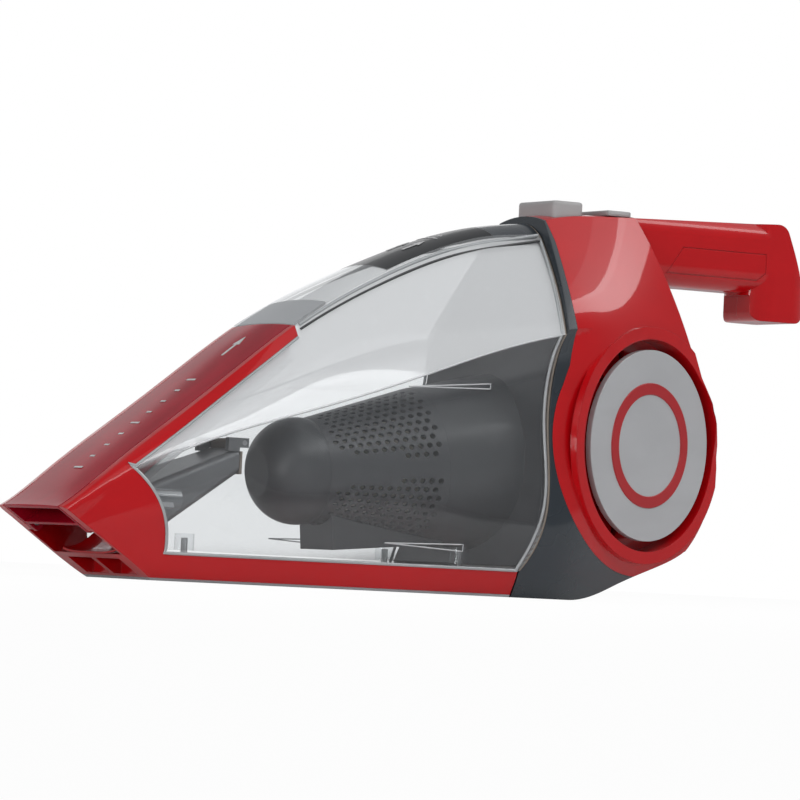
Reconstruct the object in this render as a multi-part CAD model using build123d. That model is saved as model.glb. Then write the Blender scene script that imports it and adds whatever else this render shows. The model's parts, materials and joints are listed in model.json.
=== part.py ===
from build123d import *
import os
from collections import namedtuple
from math import atan2, cos, hypot, pi, radians, sin, tan

# Handheld vacuum cleaner, millimetres, +X towards the handle, +Z up, Y across.
# The origin is at the middle of the underside.

# ------------------------------------------------------------------ sizes

# Nose and slanted mouth
NOSE_X = -207.0            # front tip
NOSE_Z = 31.0              # height of the tip
LIP_X = -160.0             # lower lip of the mouth, on the floor
DECK_REAR_X = -91.0        # end of the straight sloping deck
DECK_REAR_Z = 120.0        # height of the deck there
SHELF_Z = 11.0             # floor of the air passage
JUNCTION_X = -158.0        # nozzle to cup joint at the sill
JUNCTION_LEAN = 19.0       # how far that joint leans forward at its top
JUNCTION_Z = 52.0          # height of its top

# Cup and sill
CUP_WALL = 2.4
SILL_Z = 12.0              # top of the sill along the cup
SILL_END_X = 19.0
RAIL_DEPTH = 4.0           # depth of the rail beside the tool
WEAR_STRIP = 1.2           # soft pad under the sill
FIT = 0.3                  # clearance where one piece slips into another
FLOOR_CUT = 0.6            # how far the outer skin runs below the floor before it is cut flat

# Crevice tool
TOOL_MOUTH_HALF = 27.5
TOOL_END_HALF = 25.6
TOOL_MOUTH_DEPTH = 15.0
TOOL_END_DEPTH = 10.5
TOOL_WALL = 1.7
TOOL_GAP = 0.5
PIVOT_ALONG = 17.5         # tip to pivot, along the mouth plane
PIVOT_INSET = 3.0          # pivot behind the mouth plane
PIN_DIAMETER = 3.0
LUG_RADIUS = 4.0
PIN_FIT = 0.05

# Top of the cup
TRIM_LENGTH = 18.0
TRIM_THICKNESS = 1.4
CATCH_THICKNESS = 2.0
LABEL_START_X = -40.0
LABEL_END_X = 20.0
LABEL_THICKNESS = 0.8

# Inlet duct and flap
DUCT_WALL = 1.6
DUCT_FRONT_X = -160.0
DUCT_FRONT = (27.0, 19.0, 43.5)   # half width, lowest and highest point at the front
DUCT_REAR = (16.0, 50.5, 62.5)    # the same at the outlet
DUCT_END_X = -109.0
DUCT_MOUTH = (
    (-153.5, 0.0),
    (-155.2, 19.0),
    (-157.4, 30.0),
    (-165.2, 44.0),
    (-175.0, 56.0),
    (-300.0, 56.0),
    (-300.0, 0.0),
)
FLAP_THICKNESS = 1.2
FLAP_PIN_DIAMETER = 2.4

# Filter
FILTER_Z = 60.0            # height of the filter axis at the rim
FILTER_TILT = 5.0          # degrees that the axis drops towards the nose
CAP_X = -91.0              # front of the filter
CAP_LENGTH = 26.0
CAP_RADIUS = 24.5
SCREEN_END_X = -8.0
SCREEN_RADIUS = 37.0
SCREEN_WALL = 1.6
SCREEN_HOLE = 3.0
SKIRT_RADIUS = 43.0
SKIRT_WALL = 2.0
FLANGE_THICKNESS = 3.0
SEAL_THICKNESS = 1.0
PLEATS = 24
PLEAT_RADIUS = 22.0
PLEAT_DEPTH = 5.0
PAPER = 1.0

# Rear body
BODY_WALL = 2.6
BULKHEAD = 2.6
DISC_X = 96.5
DISC_Z = 75.0
DISC_HALF_WIDTH = 45.0     # half width of the body at the disc centre
TAPER = 19.0               # degrees that each flank turns in towards the rear
RING_RADIUS = 56.5
RED_RADIUS = 62.5          # round edge of the housing around the ring
RED_REACH = 54.5           # how far the housing reaches behind the disc centre
RING_HEIGHT = 1.2
RECESS_RADIUS = 50.5
RECESS_DEPTH = 11.0
DISC_RADIUS = 45.5
DISC_THICKNESS = 3.0
DISC_PROUD = 1.0
DISC_POSTS = 3
VENTS = 14
BASE_END_X = 54.0          # rear end of the flat underside

# Handle
HANDLE_END_X = 207.0
HANDLE_TOP_Z = 188.0
HANDLE_UNDER_Z = 154.0
HANDLE_HALF = 16.5
HANDLE_ROUND = 11.0
HOOK_ROUND = 14.0
HOOK_Z = 140.5
HOOK_X = 175.0
HANDLE_WALL = 2.6
GRIP_THICKNESS = 1.2

# Controls on top
BUTTON_HALF = 17.0
BUTTON_X = 55.5
BUTTON_LENGTH = 17.0
BUTTON_TOP_Z = 190.0
BUTTON_TRAVEL = 3.5
SWITCH_X = 86.0
SWITCH_LENGTH = 13.0
SWITCH_TOP_Z = 187.6
SWITCH_TRAVEL = 5.0
CONTROL_GAP = 0.4

# Motor and fan
MOTOR_Z = 86.0
MOTOR_RADIUS = 20.0
MOTOR_X = 68.0
MOTOR_LENGTH = 44.0
SHAFT_DIAMETER = 3.2
IMPELLER_X = 52.0
IMPELLER_RADIUS = 28.0
IMPELLER_WIDTH = 9.0
IMPELLER_GAP = 1.5
BLADES = 9
SHROUD_WALL = 2.0
EYE_RADIUS = 14.0

# Batteries
CELL_DIAMETER = 18.3
CELL_LENGTH = 65.0
CELL_GAP = 0.6
CELL_X = 46.0
CELL_Z = 14.5
CRADLE_WALL = 1.6


# Small details
LUG_WIDTH = 3.0            # thickness of a pivot lug
PIN_BITE = 3.0             # depth of a pivot pin in the nozzle wall
BOSS_RADIUS = 4.5
BOSS_END_X = -149.0
BOSS_Y = 32.5
BOSS_Z = 37.0
SCREW_DIAMETER = 3.0
SCREW_GRIP = 8.0
SCREW_HEAD_Y = 11.0
FLAP_BARREL = 2.2
EAR_WIDTH = 3.0
SCREEN_ROWS = 9
SCREEN_HOLES = 9
BAND_ANGLE = 16.0          # half of each plain side band
SKIRT_END_X = 40.0
KEEL_X = -60.0
POCKET_OUTER = 25.0
CATCH_RIB_TOP = 176.0
KEEL_WIDTH = 30.0
CHASSIS_END_X = 104.0
NECK_FRONT_X = 49.0
NECK_SHOULDER_Z = 125.0
NECK_BACK = (
    (100.5, 187.0),
    (115.5, 150.0),
    (126.5, 123.5),
    (133.8, 109.5),
    (140.3, 98.0),
    (144.3, 88.0),
    (146.8, 78.0),
    (147.9, 67.0),
    (147.7, 57.0),
    (146.4, 49.5),
)
VENT_RADIUS = 41.0
HANDLE_FRONT_X = 90.0
GRIP_FRONT_X = 120.0
GRIP_REAR_X = 180.0
GRIP_LOW_Z = 157.0
GRIP_HIGH_Z = 173.0
BUTTON_FOOT_Z = 176.0
SWITCH_SEAT_Z = 184.9
SWITCH_BODY_Z = 171.0
STEM_HALF = 4.0
BRACKET_Z = 158.0
SPRING_RADIUS = 4.0
LATCH_TIP_X = 40.0
LATCH_HALF = 5.0
LATCH_Z = 166.0
LATCH_HEIGHT = 3.0
INTAKE_RADIUS = 18.0
GASKET = 2.0
JACK_X = 136.0
JACK_END_X = 147.0
JACK_Z = 62.0
JACK_RADIUS = 5.4
JACK_BORE = 3.2

HALF_SPACE = 120.0         # half width of the cutting bodies

# Cross sections: every half width and height of the outer skin at one place along X.
Section = namedtuple(
    "Section",
    "x deck_half deck_z crown shoulder_half shoulder_z waist_half waist_z "
    "bulge_half bulge_z sill_half sill_z foot_half",
)

DECK_SLOPE = (DECK_REAR_Z - NOSE_Z) / (DECK_REAR_X - NOSE_X)


def deck_height(x):
    """Height of the straight sloping deck at x."""
    return NOSE_Z + DECK_SLOPE * (x - NOSE_X)


FRONT_SECTIONS = (
    Section(NOSE_X, 31.0, NOSE_Z, 0.5, 33.0, 24.0, 32.5, 19.0, 32.0, 13.0, 30.0, 6.0, 27.0),
    Section(-178.0, 31.2, deck_height(-178.0), 0.8, 36.5, 44.0, 37.0, 34.0, 36.5, 22.0, 34.0, 9.0, 29.5),
    Section(-160.0, 31.2, deck_height(-160.0), 1.0, 39.5, 55.0, 40.5, 42.0, 40.0, 26.0, 37.5, 10.5, 31.0),
    Section(-125.0, 30.4, deck_height(-125.0), 1.0, 45.5, 70.0, 46.0, 52.0, 45.5, 32.0, 43.5, 11.5, 36.0),
    Section(DECK_REAR_X, 29.5, DECK_REAR_Z, 1.2, 50.5, 81.0, 50.5, 60.0, 50.5, 36.0, 48.0, 12.0, 41.0),
    Section(-45.0, 27.0, 146.8, 3.0, 56.5, 97.0, 55.5, 72.0, 56.0, 41.0, 53.0, 12.0, 46.0),
    Section(-5.0, 24.0, 163.0, 4.6, 60.0, 112.0, 56.5, 80.0, 59.0, 42.0, 56.0, 12.5, 49.0),
    Section(25.0, 21.6, 169.6, 6.0, 60.5, 121.0, 56.5, 84.0, 60.8, 42.0, 57.5, 13.0, 50.5),
    Section(60.0, 19.0, 176.5, 6.4, 59.5, 128.0, 57.0, 88.0, 61.0, 42.0, 58.0, 14.0, 51.0),
)


def flank(x):
    """Half width of the flat tapering flank at x."""
    return DISC_HALF_WIDTH - tan(radians(TAPER)) * (x - DISC_X)


def flank_section(x, deck_half, deck_z, shoulder_z, foot_half):
    """Cross section of the rear body where its flank is flat."""
    half = flank(x)
    flat = (half, shoulder_z, half, 90.0, half, 50.0, half - 3.0, 19.0)
    return Section(x, deck_half, deck_z, 1.6, *flat, foot_half)


REAR_SECTIONS = (
    FRONT_SECTIONS[-3],
    FRONT_SECTIONS[-2],
    Section(44.0, 20.0, 178.0, 3.2, 60.4, 127.0, 57.8, 88.0, 60.6, 44.0, 57.4, 14.5, 49.5),
    flank_section(62.0, 19.0, 182.4, 127.0, 44.0),
    flank_section(DISC_X, 18.0, 184.6, 124.0, 33.0),
    flank_section(125.0, 17.0, 186.0, 118.0, 26.0),
    flank_section(165.0, 12.0, 187.0, 112.0, 14.0),
)


# ------------------------------------------------------------------ helpers

def face_of(*edges):
    """Flat face inside a closed run of edges."""
    return Face(Wire(list(edges)))


def polygon_xz(points, y=0.0):
    """Flat face through (x, z) points in an upright plane."""
    return Face(Wire(Polyline(*[(x, y, z) for x, z in points], close=True).edges()))


def slab(points, half=HALF_SPACE):
    """Body with the (x, z) outline, reaching the same way out to both sides."""
    return extrude(polygon_xz(points, -half), amount=2 * half, dir=(0, 1, 0))


def block(x0, x1, half, z0, z1):
    """Box centred across the width."""
    return Pos((x0 + x1) / 2, 0, (z0 + z1) / 2) * Box(x1 - x0, 2 * half, z1 - z0)


def rod_y(x, z, radius, y0, y1):
    """Cylinder along Y."""
    return Pos(x, (y0 + y1) / 2, z) * Rot(90, 0, 0) * Cylinder(radius, abs(y1 - y0))


def rod_x(x0, x1, z, radius, y=0.0):
    """Cylinder along X."""
    return Pos((x0 + x1) / 2, y, z) * Rot(0, 90, 0) * Cylinder(radius, x1 - x0)


def rod_z(x, y, z0, z1, radius):
    """Cylinder along Z."""
    return Pos(x, y, (z0 + z1) / 2) * Cylinder(radius, z1 - z0)


def mirrored(shape):
    """The shape on the other side of the middle plane."""
    return mirror(shape, about=Plane.XZ)


# Weights that take five points at equal steps to the control points of the curve through them
THROUGH_FIVE = (
    (-13 / 12, 48 / 12, -36 / 12, 16 / 12, -3 / 12),
    (13 / 18, -64 / 18, 120 / 18, -64 / 18, 13 / 18),
    (-3 / 12, 16 / 12, -36 / 12, 48 / 12, -13 / 12),
)


def curve_through(points):
    """Smooth curve through three or five points."""
    if len(points) == 3:
        start, middle, end = points
        return Bezier(start, 2 * middle - (start + end) / 2, end)
    inner = [sum((p * w for p, w in zip(points, row)), Vector(0, 0, 0)) for row in THROUGH_FIVE]
    return Bezier(points[0], *inner, points[-1])


def side_points(s, inset):
    """Points (y, z) down one side of a section, each moved inwards by inset.

    The outer skin runs on a little below the floor, where a flat cut ends it.
    """
    foot_z = 0.0 if inset else -FLOOR_CUT
    points = [
        (s.deck_half, s.deck_z),
        ((s.deck_half + s.shoulder_half) / 2 + 1.2, (s.deck_z + s.shoulder_z) / 2 + 1.2),
        (s.shoulder_half, s.shoulder_z),
        (s.waist_half, s.waist_z),
        (s.bulge_half, s.bulge_z),
        (s.sill_half, s.sill_z),
        (s.foot_half, foot_z),
    ]
    moved = []
    for i, (y, z) in enumerate(points):
        before = points[i - 1] if i else (0.0, s.deck_z)
        after = points[i + 1] if i + 1 < len(points) else (0.0, foot_z)
        turn_in = atan2(z - before[1], y - before[0])
        turn_out = atan2(after[1] - z, after[0] - y)
        while turn_out - turn_in > pi:
            turn_out -= 2 * pi
        middle = (turn_in + turn_out) / 2
        reach = inset / cos((turn_out - turn_in) / 2)
        moved.append((y + reach * sin(middle), z - reach * cos(middle)))
    return moved


def skin(sections, inset=0.0):
    """Closed body of the outer skin, or of a skin set in by a wall."""
    faces = []
    for s in sections:
        right = [Vector(s.x, y, z) for y, z in side_points(s, inset)]
        left = [Vector(p.X, -p.Y, p.Z) for p in reversed(right)]
        peak = Vector(s.x, 0, s.deck_z + s.crown - inset)
        faces.append(face_of(
            curve_through([left[-1], peak, right[0]]),
            curve_through(right[:3]),
            curve_through(right[2:]),
            Line(right[-1], left[0]),
            curve_through(left[:5]),
            curve_through(left[4:]),
        ))
    return loft(faces)


# Mouth plane and deck directions
MOUTH = Vector(LIP_X - NOSE_X, 0, -NOSE_Z).normalized()
PIVOT_X = NOSE_X + PIVOT_ALONG * MOUTH.X - PIVOT_INSET * MOUTH.Z
PIVOT_Z = NOSE_Z + PIVOT_ALONG * MOUTH.Z + PIVOT_INSET * MOUTH.X
TIP_RADIUS = hypot(PIVOT_ALONG, PIVOT_INSET)
DECK_ANGLE = atan2(DECK_REAR_Z - NOSE_Z, DECK_REAR_X - NOSE_X)
DECK_DROP = 1 / cos(DECK_ANGLE)
FAR = 400.0


def under_deck(depth_front, depth_rear, x0, x1, top=60.0):
    """Outline from a line below the deck, at a depth square to it, up past the deck."""
    return [
        (x0, deck_height(x0) - depth_front * DECK_DROP),
        (x1, deck_height(x1) - depth_rear * DECK_DROP),
        (x1, deck_height(x1) + top),
        (x0, deck_height(x0) + top),
    ]


def behind_mouth():
    """Everything above the floor and on the handle side of the mouth plane."""
    return slab([
        (NOSE_X - 40 * MOUTH.X, NOSE_Z - 40 * MOUTH.Z),
        (LIP_X, 0.0),
        (FAR, 0.0),
        (FAR, 200.0),
        (NOSE_X - 40 * MOUTH.X, 200.0),
    ])


def junction_front(offset=0.0):
    """Everything in front of the curved joint between nozzle and cup."""
    x = JUNCTION_X + offset
    joint = Spline(
        (x, -HALF_SPACE, SILL_Z),
        (x - 0.26 * JUNCTION_LEAN, -HALF_SPACE, SILL_Z + 0.6 * (JUNCTION_Z - SILL_Z)),
        (x - JUNCTION_LEAN, -HALF_SPACE, JUNCTION_Z),
        tangents=[(0, 0, 1), (-1, 0, 0.9)],
    )
    rim = Polyline(
        (x - JUNCTION_LEAN, -HALF_SPACE, JUNCTION_Z),
        (x - JUNCTION_LEAN, -HALF_SPACE, 300.0),
        (-FAR, -HALF_SPACE, 300.0),
        (-FAR, -HALF_SPACE, -30.0),
        (x, -HALF_SPACE, -30.0),
        (x, -HALF_SPACE, SILL_Z),
    )
    return extrude(face_of(joint, *rim.edges()), amount=2 * HALF_SPACE, dir=(0, 1, 0))


def behind_rim(offset=0.0):
    """Everything behind the rim of the cup, moved along X."""
    top_x = 49.0 + offset
    rim = Spline(
        (top_x, -HALF_SPACE, 195.0),
        (40.0 + offset, -HALF_SPACE, 138.0),
        (31.5 + offset, -HALF_SPACE, 82.0),
        (30.5 + offset, -HALF_SPACE, 40.0),
        (SILL_END_X + offset, -HALF_SPACE, SILL_Z),
    )
    rest = Polyline(
        (SILL_END_X + offset, -HALF_SPACE, SILL_Z),
        (SILL_END_X + offset, -HALF_SPACE, -30.0),
        (FAR, -HALF_SPACE, -30.0),
        (FAR, -HALF_SPACE, 260.0),
        (top_x, -HALF_SPACE, 260.0),
        (top_x, -HALF_SPACE, 195.0),
    )
    return extrude(face_of(rim, *rest.edges()), amount=2 * HALF_SPACE, dir=(0, 1, 0))


# ------------------------------------------------------------------ skins and zones

OUTER = skin(FRONT_SECTIONS) & behind_mouth()
INNER = skin(FRONT_SECTIONS, CUP_WALL)
SLIP = skin(FRONT_SECTIONS, CUP_WALL + FIT)
REAR = skin(REAR_SECTIONS) & block(-FAR, FAR, HALF_SPACE, 0.0, FAR)
REAR_INNER = skin(REAR_SECTIONS, BODY_WALL)
NOSE_ZONE = junction_front()
RIM_ZONE = behind_rim()
SEALED_ZONE = behind_rim(SEAL_THICKNESS)
RAIL_FRONT_X = JUNCTION_X - JUNCTION_LEAN
CHANNEL_END_X = DECK_REAR_X + TOOL_GAP


def plan(points, z0=-10.0, z1=240.0):
    """Upright body with a symmetrical outline given by (x, half width) points."""
    outline = [(x, -y, z0) for x, y in points] + [(x, y, z0) for x, y in reversed(points)]
    return extrude(Face(Wire(Polyline(*outline, close=True).edges())), amount=z1 - z0, dir=(0, 0, 1))


def tool_wedge(grow, top=60.0, rear=DECK_REAR_X, front=NOSE_X - 30):
    """Wedge that the tool fills, or its channel when it is grown."""
    outline = under_deck(TOOL_MOUTH_DEPTH + grow, TOOL_END_DEPTH + grow, front, rear, top)
    sides = [(front, TOOL_MOUTH_HALF + grow), (rear, TOOL_END_HALF + grow)]
    return slab(outline) & plan(sides)


def duct_at(x, wall):
    """Cross section of the duct at x, set in by a wall."""
    share = (x - DUCT_FRONT_X) / (DUCT_END_X - DUCT_FRONT_X)
    half, low, high = (a + share * (b - a) for a, b in zip(DUCT_FRONT, DUCT_REAR))
    half, low, high = half - wall, low + wall, high - wall
    corners = [(x, -half, low), (x, half, low), (x, half, high), (x, -half, high)]
    return Face(Wire(FilletPolyline(*corners, radius=4.0 - wall, close=True).edges()))


def duct_body(wall, x0=DUCT_FRONT_X - 12, x1=DUCT_END_X):
    return loft([duct_at(x0, wall), duct_at(x1, wall)])


# ------------------------------------------------------------------ nozzle, tool and cup

def make_nozzle():
    """Front housing with its mouth, side rails and the sill that runs back under the cup."""
    rails = slab(under_deck(RAIL_DEPTH, RAIL_DEPTH, RAIL_FRONT_X - 1, DECK_REAR_X))
    sill = block(JUNCTION_X - 1, SILL_END_X, HALF_SPACE, WEAR_STRIP, SILL_Z)
    zone = NOSE_ZONE + rails + sill - block(-FAR, FAR, HALF_SPACE, -FAR, WEAR_STRIP)
    roof = TOOL_MOUTH_DEPTH + TOOL_GAP + CUP_WALL
    front, rear = NOSE_X + 7, JUNCTION_X + 5
    passage = slab([
        (front, deck_height(front) - roof * DECK_DROP),
        (rear, deck_height(rear) - roof * DECK_DROP),
        (rear, SHELF_Z),
        (front, SHELF_Z),
    ])
    floor_z = WEAR_STRIP + CUP_WALL
    tray = block(JUNCTION_X + 2, SILL_END_X - 2, HALF_SPACE, floor_z, SILL_Z)
    swing_half = TOOL_MOUTH_HALF + TOOL_GAP
    swing = rod_y(PIVOT_X, PIVOT_Z, TIP_RADIUS + TOOL_GAP, -swing_half, swing_half)
    cuts = [INNER & passage, INNER & tray, tool_wedge(TOOL_GAP, rear=DECK_REAR_X + 5), swing]
    pocket = block(NOSE_X, JUNCTION_X - 2, POCKET_OUTER, CUP_WALL, SHELF_Z - 2)
    cuts.append(pocket - block(NOSE_X, 0, 2, 0, FAR))
    for side in (-1, 1):
        cuts.append(pin_body(side))
        cuts += [rod_z(x, side * y, -1, SILL_Z + 1, SCREW_DIAMETER / 2) for x, y in sill_screws()]
    return (OUTER & zone) - cuts


def pin_body(side):
    """One pivot pin, from inside the tool's lug into the nozzle wall."""
    inner = TOOL_MOUTH_HALF - LUG_WIDTH
    outer = TOOL_MOUTH_HALF + TOOL_GAP + PIN_BITE
    return rod_y(PIVOT_X, PIVOT_Z, PIN_DIAMETER / 2, side * inner, side * outer)


def make_tool():
    """Flat tapering tube with an open end at each end and two pivot lugs."""
    body = OUTER & tool_wedge(0.0, rear=DECK_REAR_X)
    bore_top = [
        (NOSE_X - 30, deck_height(NOSE_X - 30) - TOOL_WALL * DECK_DROP),
        (DECK_REAR_X + 5, deck_height(DECK_REAR_X + 5) - TOOL_WALL * DECK_DROP),
        (DECK_REAR_X + 5, 0),
        (NOSE_X - 30, 0),
    ]
    body -= tool_wedge(-TOOL_WALL, rear=DECK_REAR_X + 5) & slab(bore_top)
    for side in (-1, 1):
        inner = side * (TOOL_MOUTH_HALF - LUG_WIDTH)
        outer = side * TOOL_MOUTH_HALF
        lug = rod_y(PIVOT_X, PIVOT_Z, LUG_RADIUS, inner, outer) & behind_mouth()
        body += lug
        body -= rod_y(PIVOT_X, PIVOT_Z, PIN_DIAMETER / 2 + PIN_FIT, inner, outer + side)
    return body


def make_tool_pins():
    return Compound([pin_body(-1), pin_body(1)])


def sill_screws():
    """Places (x, |y|) of the screws that hold the cup floor to the sill."""
    return [(JUNCTION_X + 18, 24.0), (SILL_END_X - 18, 34.0)]


def cup_body(plates):
    """Clear dust cup: outer wall, floor, front wall, tool recess and open rim, less its top plates."""
    above_sill = block(-FAR, FAR, HALF_SPACE, SILL_Z, FAR)
    rails = slab(under_deck(RAIL_DEPTH, RAIL_DEPTH, RAIL_FRONT_X - 5, DECK_REAR_X))
    zone = above_sill - [RIM_ZONE, NOSE_ZONE, rails, tool_wedge(TOOL_GAP, rear=CHANNEL_END_X)]
    rail_floor = RAIL_DEPTH + CUP_WALL
    inside = block(-FAR, FAR, HALF_SPACE, SILL_Z + CUP_WALL, FAR) - [
        junction_front(CUP_WALL),
        slab(under_deck(rail_floor, rail_floor, RAIL_FRONT_X - 5, DECK_REAR_X + CUP_WALL)),
        tool_wedge(TOOL_GAP + CUP_WALL, rear=CHANNEL_END_X + CUP_WALL),
    ]
    passage = duct_body(DUCT_WALL, RAIL_FRONT_X - 5, JUNCTION_X + 12)
    shell = (OUTER & zone) - [INNER & inside, passage, *plates]
    rib_x = LATCH_TIP_X + 3
    added = [block(rib_x, rib_x + 2, LATCH_HALF, LATCH_Z + LATCH_HEIGHT + FIT, CATCH_RIB_TOP)]
    bores = []
    for side in (-1, 1):
        added.append(rod_x(-172, BOSS_END_X, BOSS_Z, BOSS_RADIUS, side * BOSS_Y) - NOSE_ZONE)
        for x, y in sill_screws():
            added.append(rod_z(x, side * y, SILL_Z, SILL_Z + SCREW_GRIP + 2, BOSS_RADIUS))
            bores.append(rod_z(x, side * y, SILL_Z - 1, SILL_Z + SCREW_GRIP, SCREW_DIAMETER / 2))
    return (shell + added) - bores


def make_sill_screws():
    """Pan head screws up through the sill into the cup."""
    screws = []
    for side in (-1, 1):
        for x, y in sill_screws():
            shank = rod_z(x, side * y, WEAR_STRIP + CUP_WALL, SILL_Z + SCREW_GRIP, SCREW_DIAMETER / 2)
            head = rod_z(x, side * y, WEAR_STRIP + CUP_WALL, WEAR_STRIP + CUP_WALL + 1.6, SCREW_DIAMETER)
            screws.append(shank + head)
    return Compound(screws)


def make_wear_strip():
    """Soft pad on the underside of the sill."""
    flat = [(-FAR, -5), (SILL_END_X, -5), (SILL_END_X, WEAR_STRIP), (-FAR, WEAR_STRIP)]
    return OUTER & slab(flat)


def deck_plate(depth, x0, x1, half0, half1):
    """Thin plate let into the top of the cup, following its crown."""
    faces = []
    for s in FRONT_SECTIONS[4:]:
        low, high = s.deck_z - depth, s.deck_z + 20
        ends = [Vector(s.x, -s.deck_half, low), Vector(s.x, 0, low + s.crown), Vector(s.x, s.deck_half, low)]
        top = [Vector(s.x, s.deck_half, high), Vector(s.x, -s.deck_half, high)]
        faces.append(face_of(
            curve_through(ends),
            Line(ends[-1], top[0]),
            Line(top[0], top[1]),
            Line(top[1], ends[0]),
        ))
    return OUTER & (loft(faces) & plan([(x0, half0), (x1, half1)], z0=DECK_REAR_Z - 15))


def make_duct():
    """Tapering tube that carries dirt from the mouth into the cup, with ears for the flap."""
    body = duct_body(0.0) - duct_body(DUCT_WALL, DUCT_FRONT_X - 13, DUCT_END_X + 1)
    body -= [slab(DUCT_MOUTH), tool_wedge(TOOL_GAP + CUP_WALL)]
    half, _, high = DUCT_REAR
    x, z = flap_axis()
    ears = block(DUCT_END_X - 6, DUCT_END_X, half, high - DUCT_WALL, z + FLAP_BARREL)
    ears += block(DUCT_END_X - 1, x + FLAP_BARREL, half, high + FIT, z + FLAP_BARREL)
    ears -= block(-FAR, FAR, half - EAR_WIDTH, -FAR, FAR)
    body += ears
    return body - rod_y(x, z, FLAP_PIN_DIAMETER / 2, -half, half)


def flap_axis():
    """Place (x, z) of the flap's hinge pin, above the outlet of the duct."""
    return DUCT_END_X + FIT + FLAP_BARREL, DUCT_REAR[2] + FLAP_BARREL + FIT


def make_flap():
    """Flat flap over the outlet of the duct, with its hinge barrel."""
    x, z = flap_axis()
    half, low, high = DUCT_REAR
    face_x = DUCT_END_X + FIT
    neck_half = half - EAR_WIDTH - TOOL_GAP
    leaf = block(face_x, face_x + FLAP_THICKNESS, half, low, high - 1.5)
    leaf += block(face_x, face_x + FLAP_THICKNESS, neck_half, low, z)
    leaf += rod_y(x, z, FLAP_BARREL, -neck_half, neck_half)
    return leaf - rod_y(x, z, FLAP_PIN_DIAMETER / 2 + PIN_FIT, -half, half)


def make_flap_pin():
    x, z = flap_axis()
    return rod_y(x, z, FLAP_PIN_DIAMETER / 2, -DUCT_REAR[0], DUCT_REAR[0])


# ------------------------------------------------------------------ filter

FILTER = Pos(0, 0, FILTER_Z) * Rot(0, -FILTER_TILT, 0)
CAP_END_X = CAP_X + CAP_LENGTH


def turned(points):
    """Body turned about the X axis from (x, radius) points."""
    outline = Wire(Polyline(*[(x, 0, r) for x, r in points], close=True).edges())
    return revolve(Face(outline), axis=Axis.X)


def dome(x0, x1, radius):
    """Blunt rounded cap between x0 and x1."""
    nose = radius * 0.45
    curve = ThreePointArc((x0, 0, nose), (x0 + 0.28 * (x1 - x0), 0, 0.84 * radius), (x1, 0, radius))
    outline = face_of(
        Line((x0, 0, 0), (x0, 0, nose)),
        curve,
        Line((x1, 0, radius), (x1, 0, 0)),
        Line((x1, 0, 0), (x0, 0, 0)),
    )
    return revolve(outline, axis=Axis.X)


def make_filter_cap():
    """Closed round front of the filter."""
    wall = SCREEN_WALL
    shell = dome(CAP_X, CAP_END_X, CAP_RADIUS)
    return FILTER * (shell - dome(CAP_X + wall, CAP_END_X + 0.01, CAP_RADIUS - wall))


def screen_radius(x):
    """Outer radius of the tapered screen at x."""
    return CAP_RADIUS + (SCREEN_RADIUS - CAP_RADIUS) * (x - CAP_END_X) / (SCREEN_END_X - CAP_END_X)


def make_filter_screen():
    """Tapered screen with rows of round holes above and below two plain side bands."""
    wall = SCREEN_WALL
    tube = turned([
        (CAP_END_X, CAP_RADIUS),
        (SCREEN_END_X, SCREEN_RADIUS),
        (SCREEN_END_X, SCREEN_RADIUS - wall),
        (CAP_END_X, CAP_RADIUS - wall),
    ])
    holes = []
    pitch = (SCREEN_END_X - CAP_END_X) / (SCREEN_ROWS + 1)
    for row in range(SCREEN_ROWS):
        x = CAP_END_X + (row + 1) * pitch
        radius = screen_radius(x)
        for step in range(SCREEN_HOLES):
            lift = BAND_ANGLE + step * (180 - 2 * BAND_ANGLE) / (SCREEN_HOLES - 1)
            for angle in (lift, lift + 180):
                hole = Pos(x, 0, 0) * Rot(angle - 90, 0, 0) * Pos(0, 0, radius) * Cylinder(SCREEN_HOLE / 2, 6)
                holes.append(hole)
    return FILTER * (tube - holes)


def make_filter_frame():
    """Skirt that carries the screen, its seat for the pleats, keel and the flange at the rim."""
    skirt_end = SKIRT_END_X
    skirt = turned([
        (SCREEN_END_X, SCREEN_RADIUS),
        (skirt_end, SKIRT_RADIUS),
        (skirt_end, SKIRT_RADIUS - SKIRT_WALL),
        (SCREEN_END_X + SKIRT_WALL, SCREEN_RADIUS - SKIRT_WALL),
        (SCREEN_END_X + SKIRT_WALL, PLEAT_RADIUS - PLEAT_DEPTH - 3),
        (SCREEN_END_X, PLEAT_RADIUS - PLEAT_DEPTH - 3),
    ])
    keel = block(KEEL_X, SCREEN_END_X + 8, KEEL_WIDTH / 2, -SCREEN_RADIUS, 0)
    cone = turned([
        (CAP_END_X, 0),
        (CAP_END_X, CAP_RADIUS),
        (SCREEN_END_X, SCREEN_RADIUS),
        (FAR, SCREEN_RADIUS),
        (FAR, 0),
    ])
    flange = (SLIP & behind_rim(SEAL_THICKNESS - FLANGE_THICKNESS)) - SEALED_ZONE
    flange &= block(-FAR, FAR, HALF_SPACE, SILL_Z + CUP_WALL + FIT, FAR)
    flange -= FILTER * rod_x(0, FAR, 0, SKIRT_RADIUS - SKIRT_WALL)
    flange -= latch_slot(CATCH_RIB_TOP + FIT)
    body = FILTER * (skirt + (keel - cone))
    return (body - SEALED_ZONE) + flange


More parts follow.
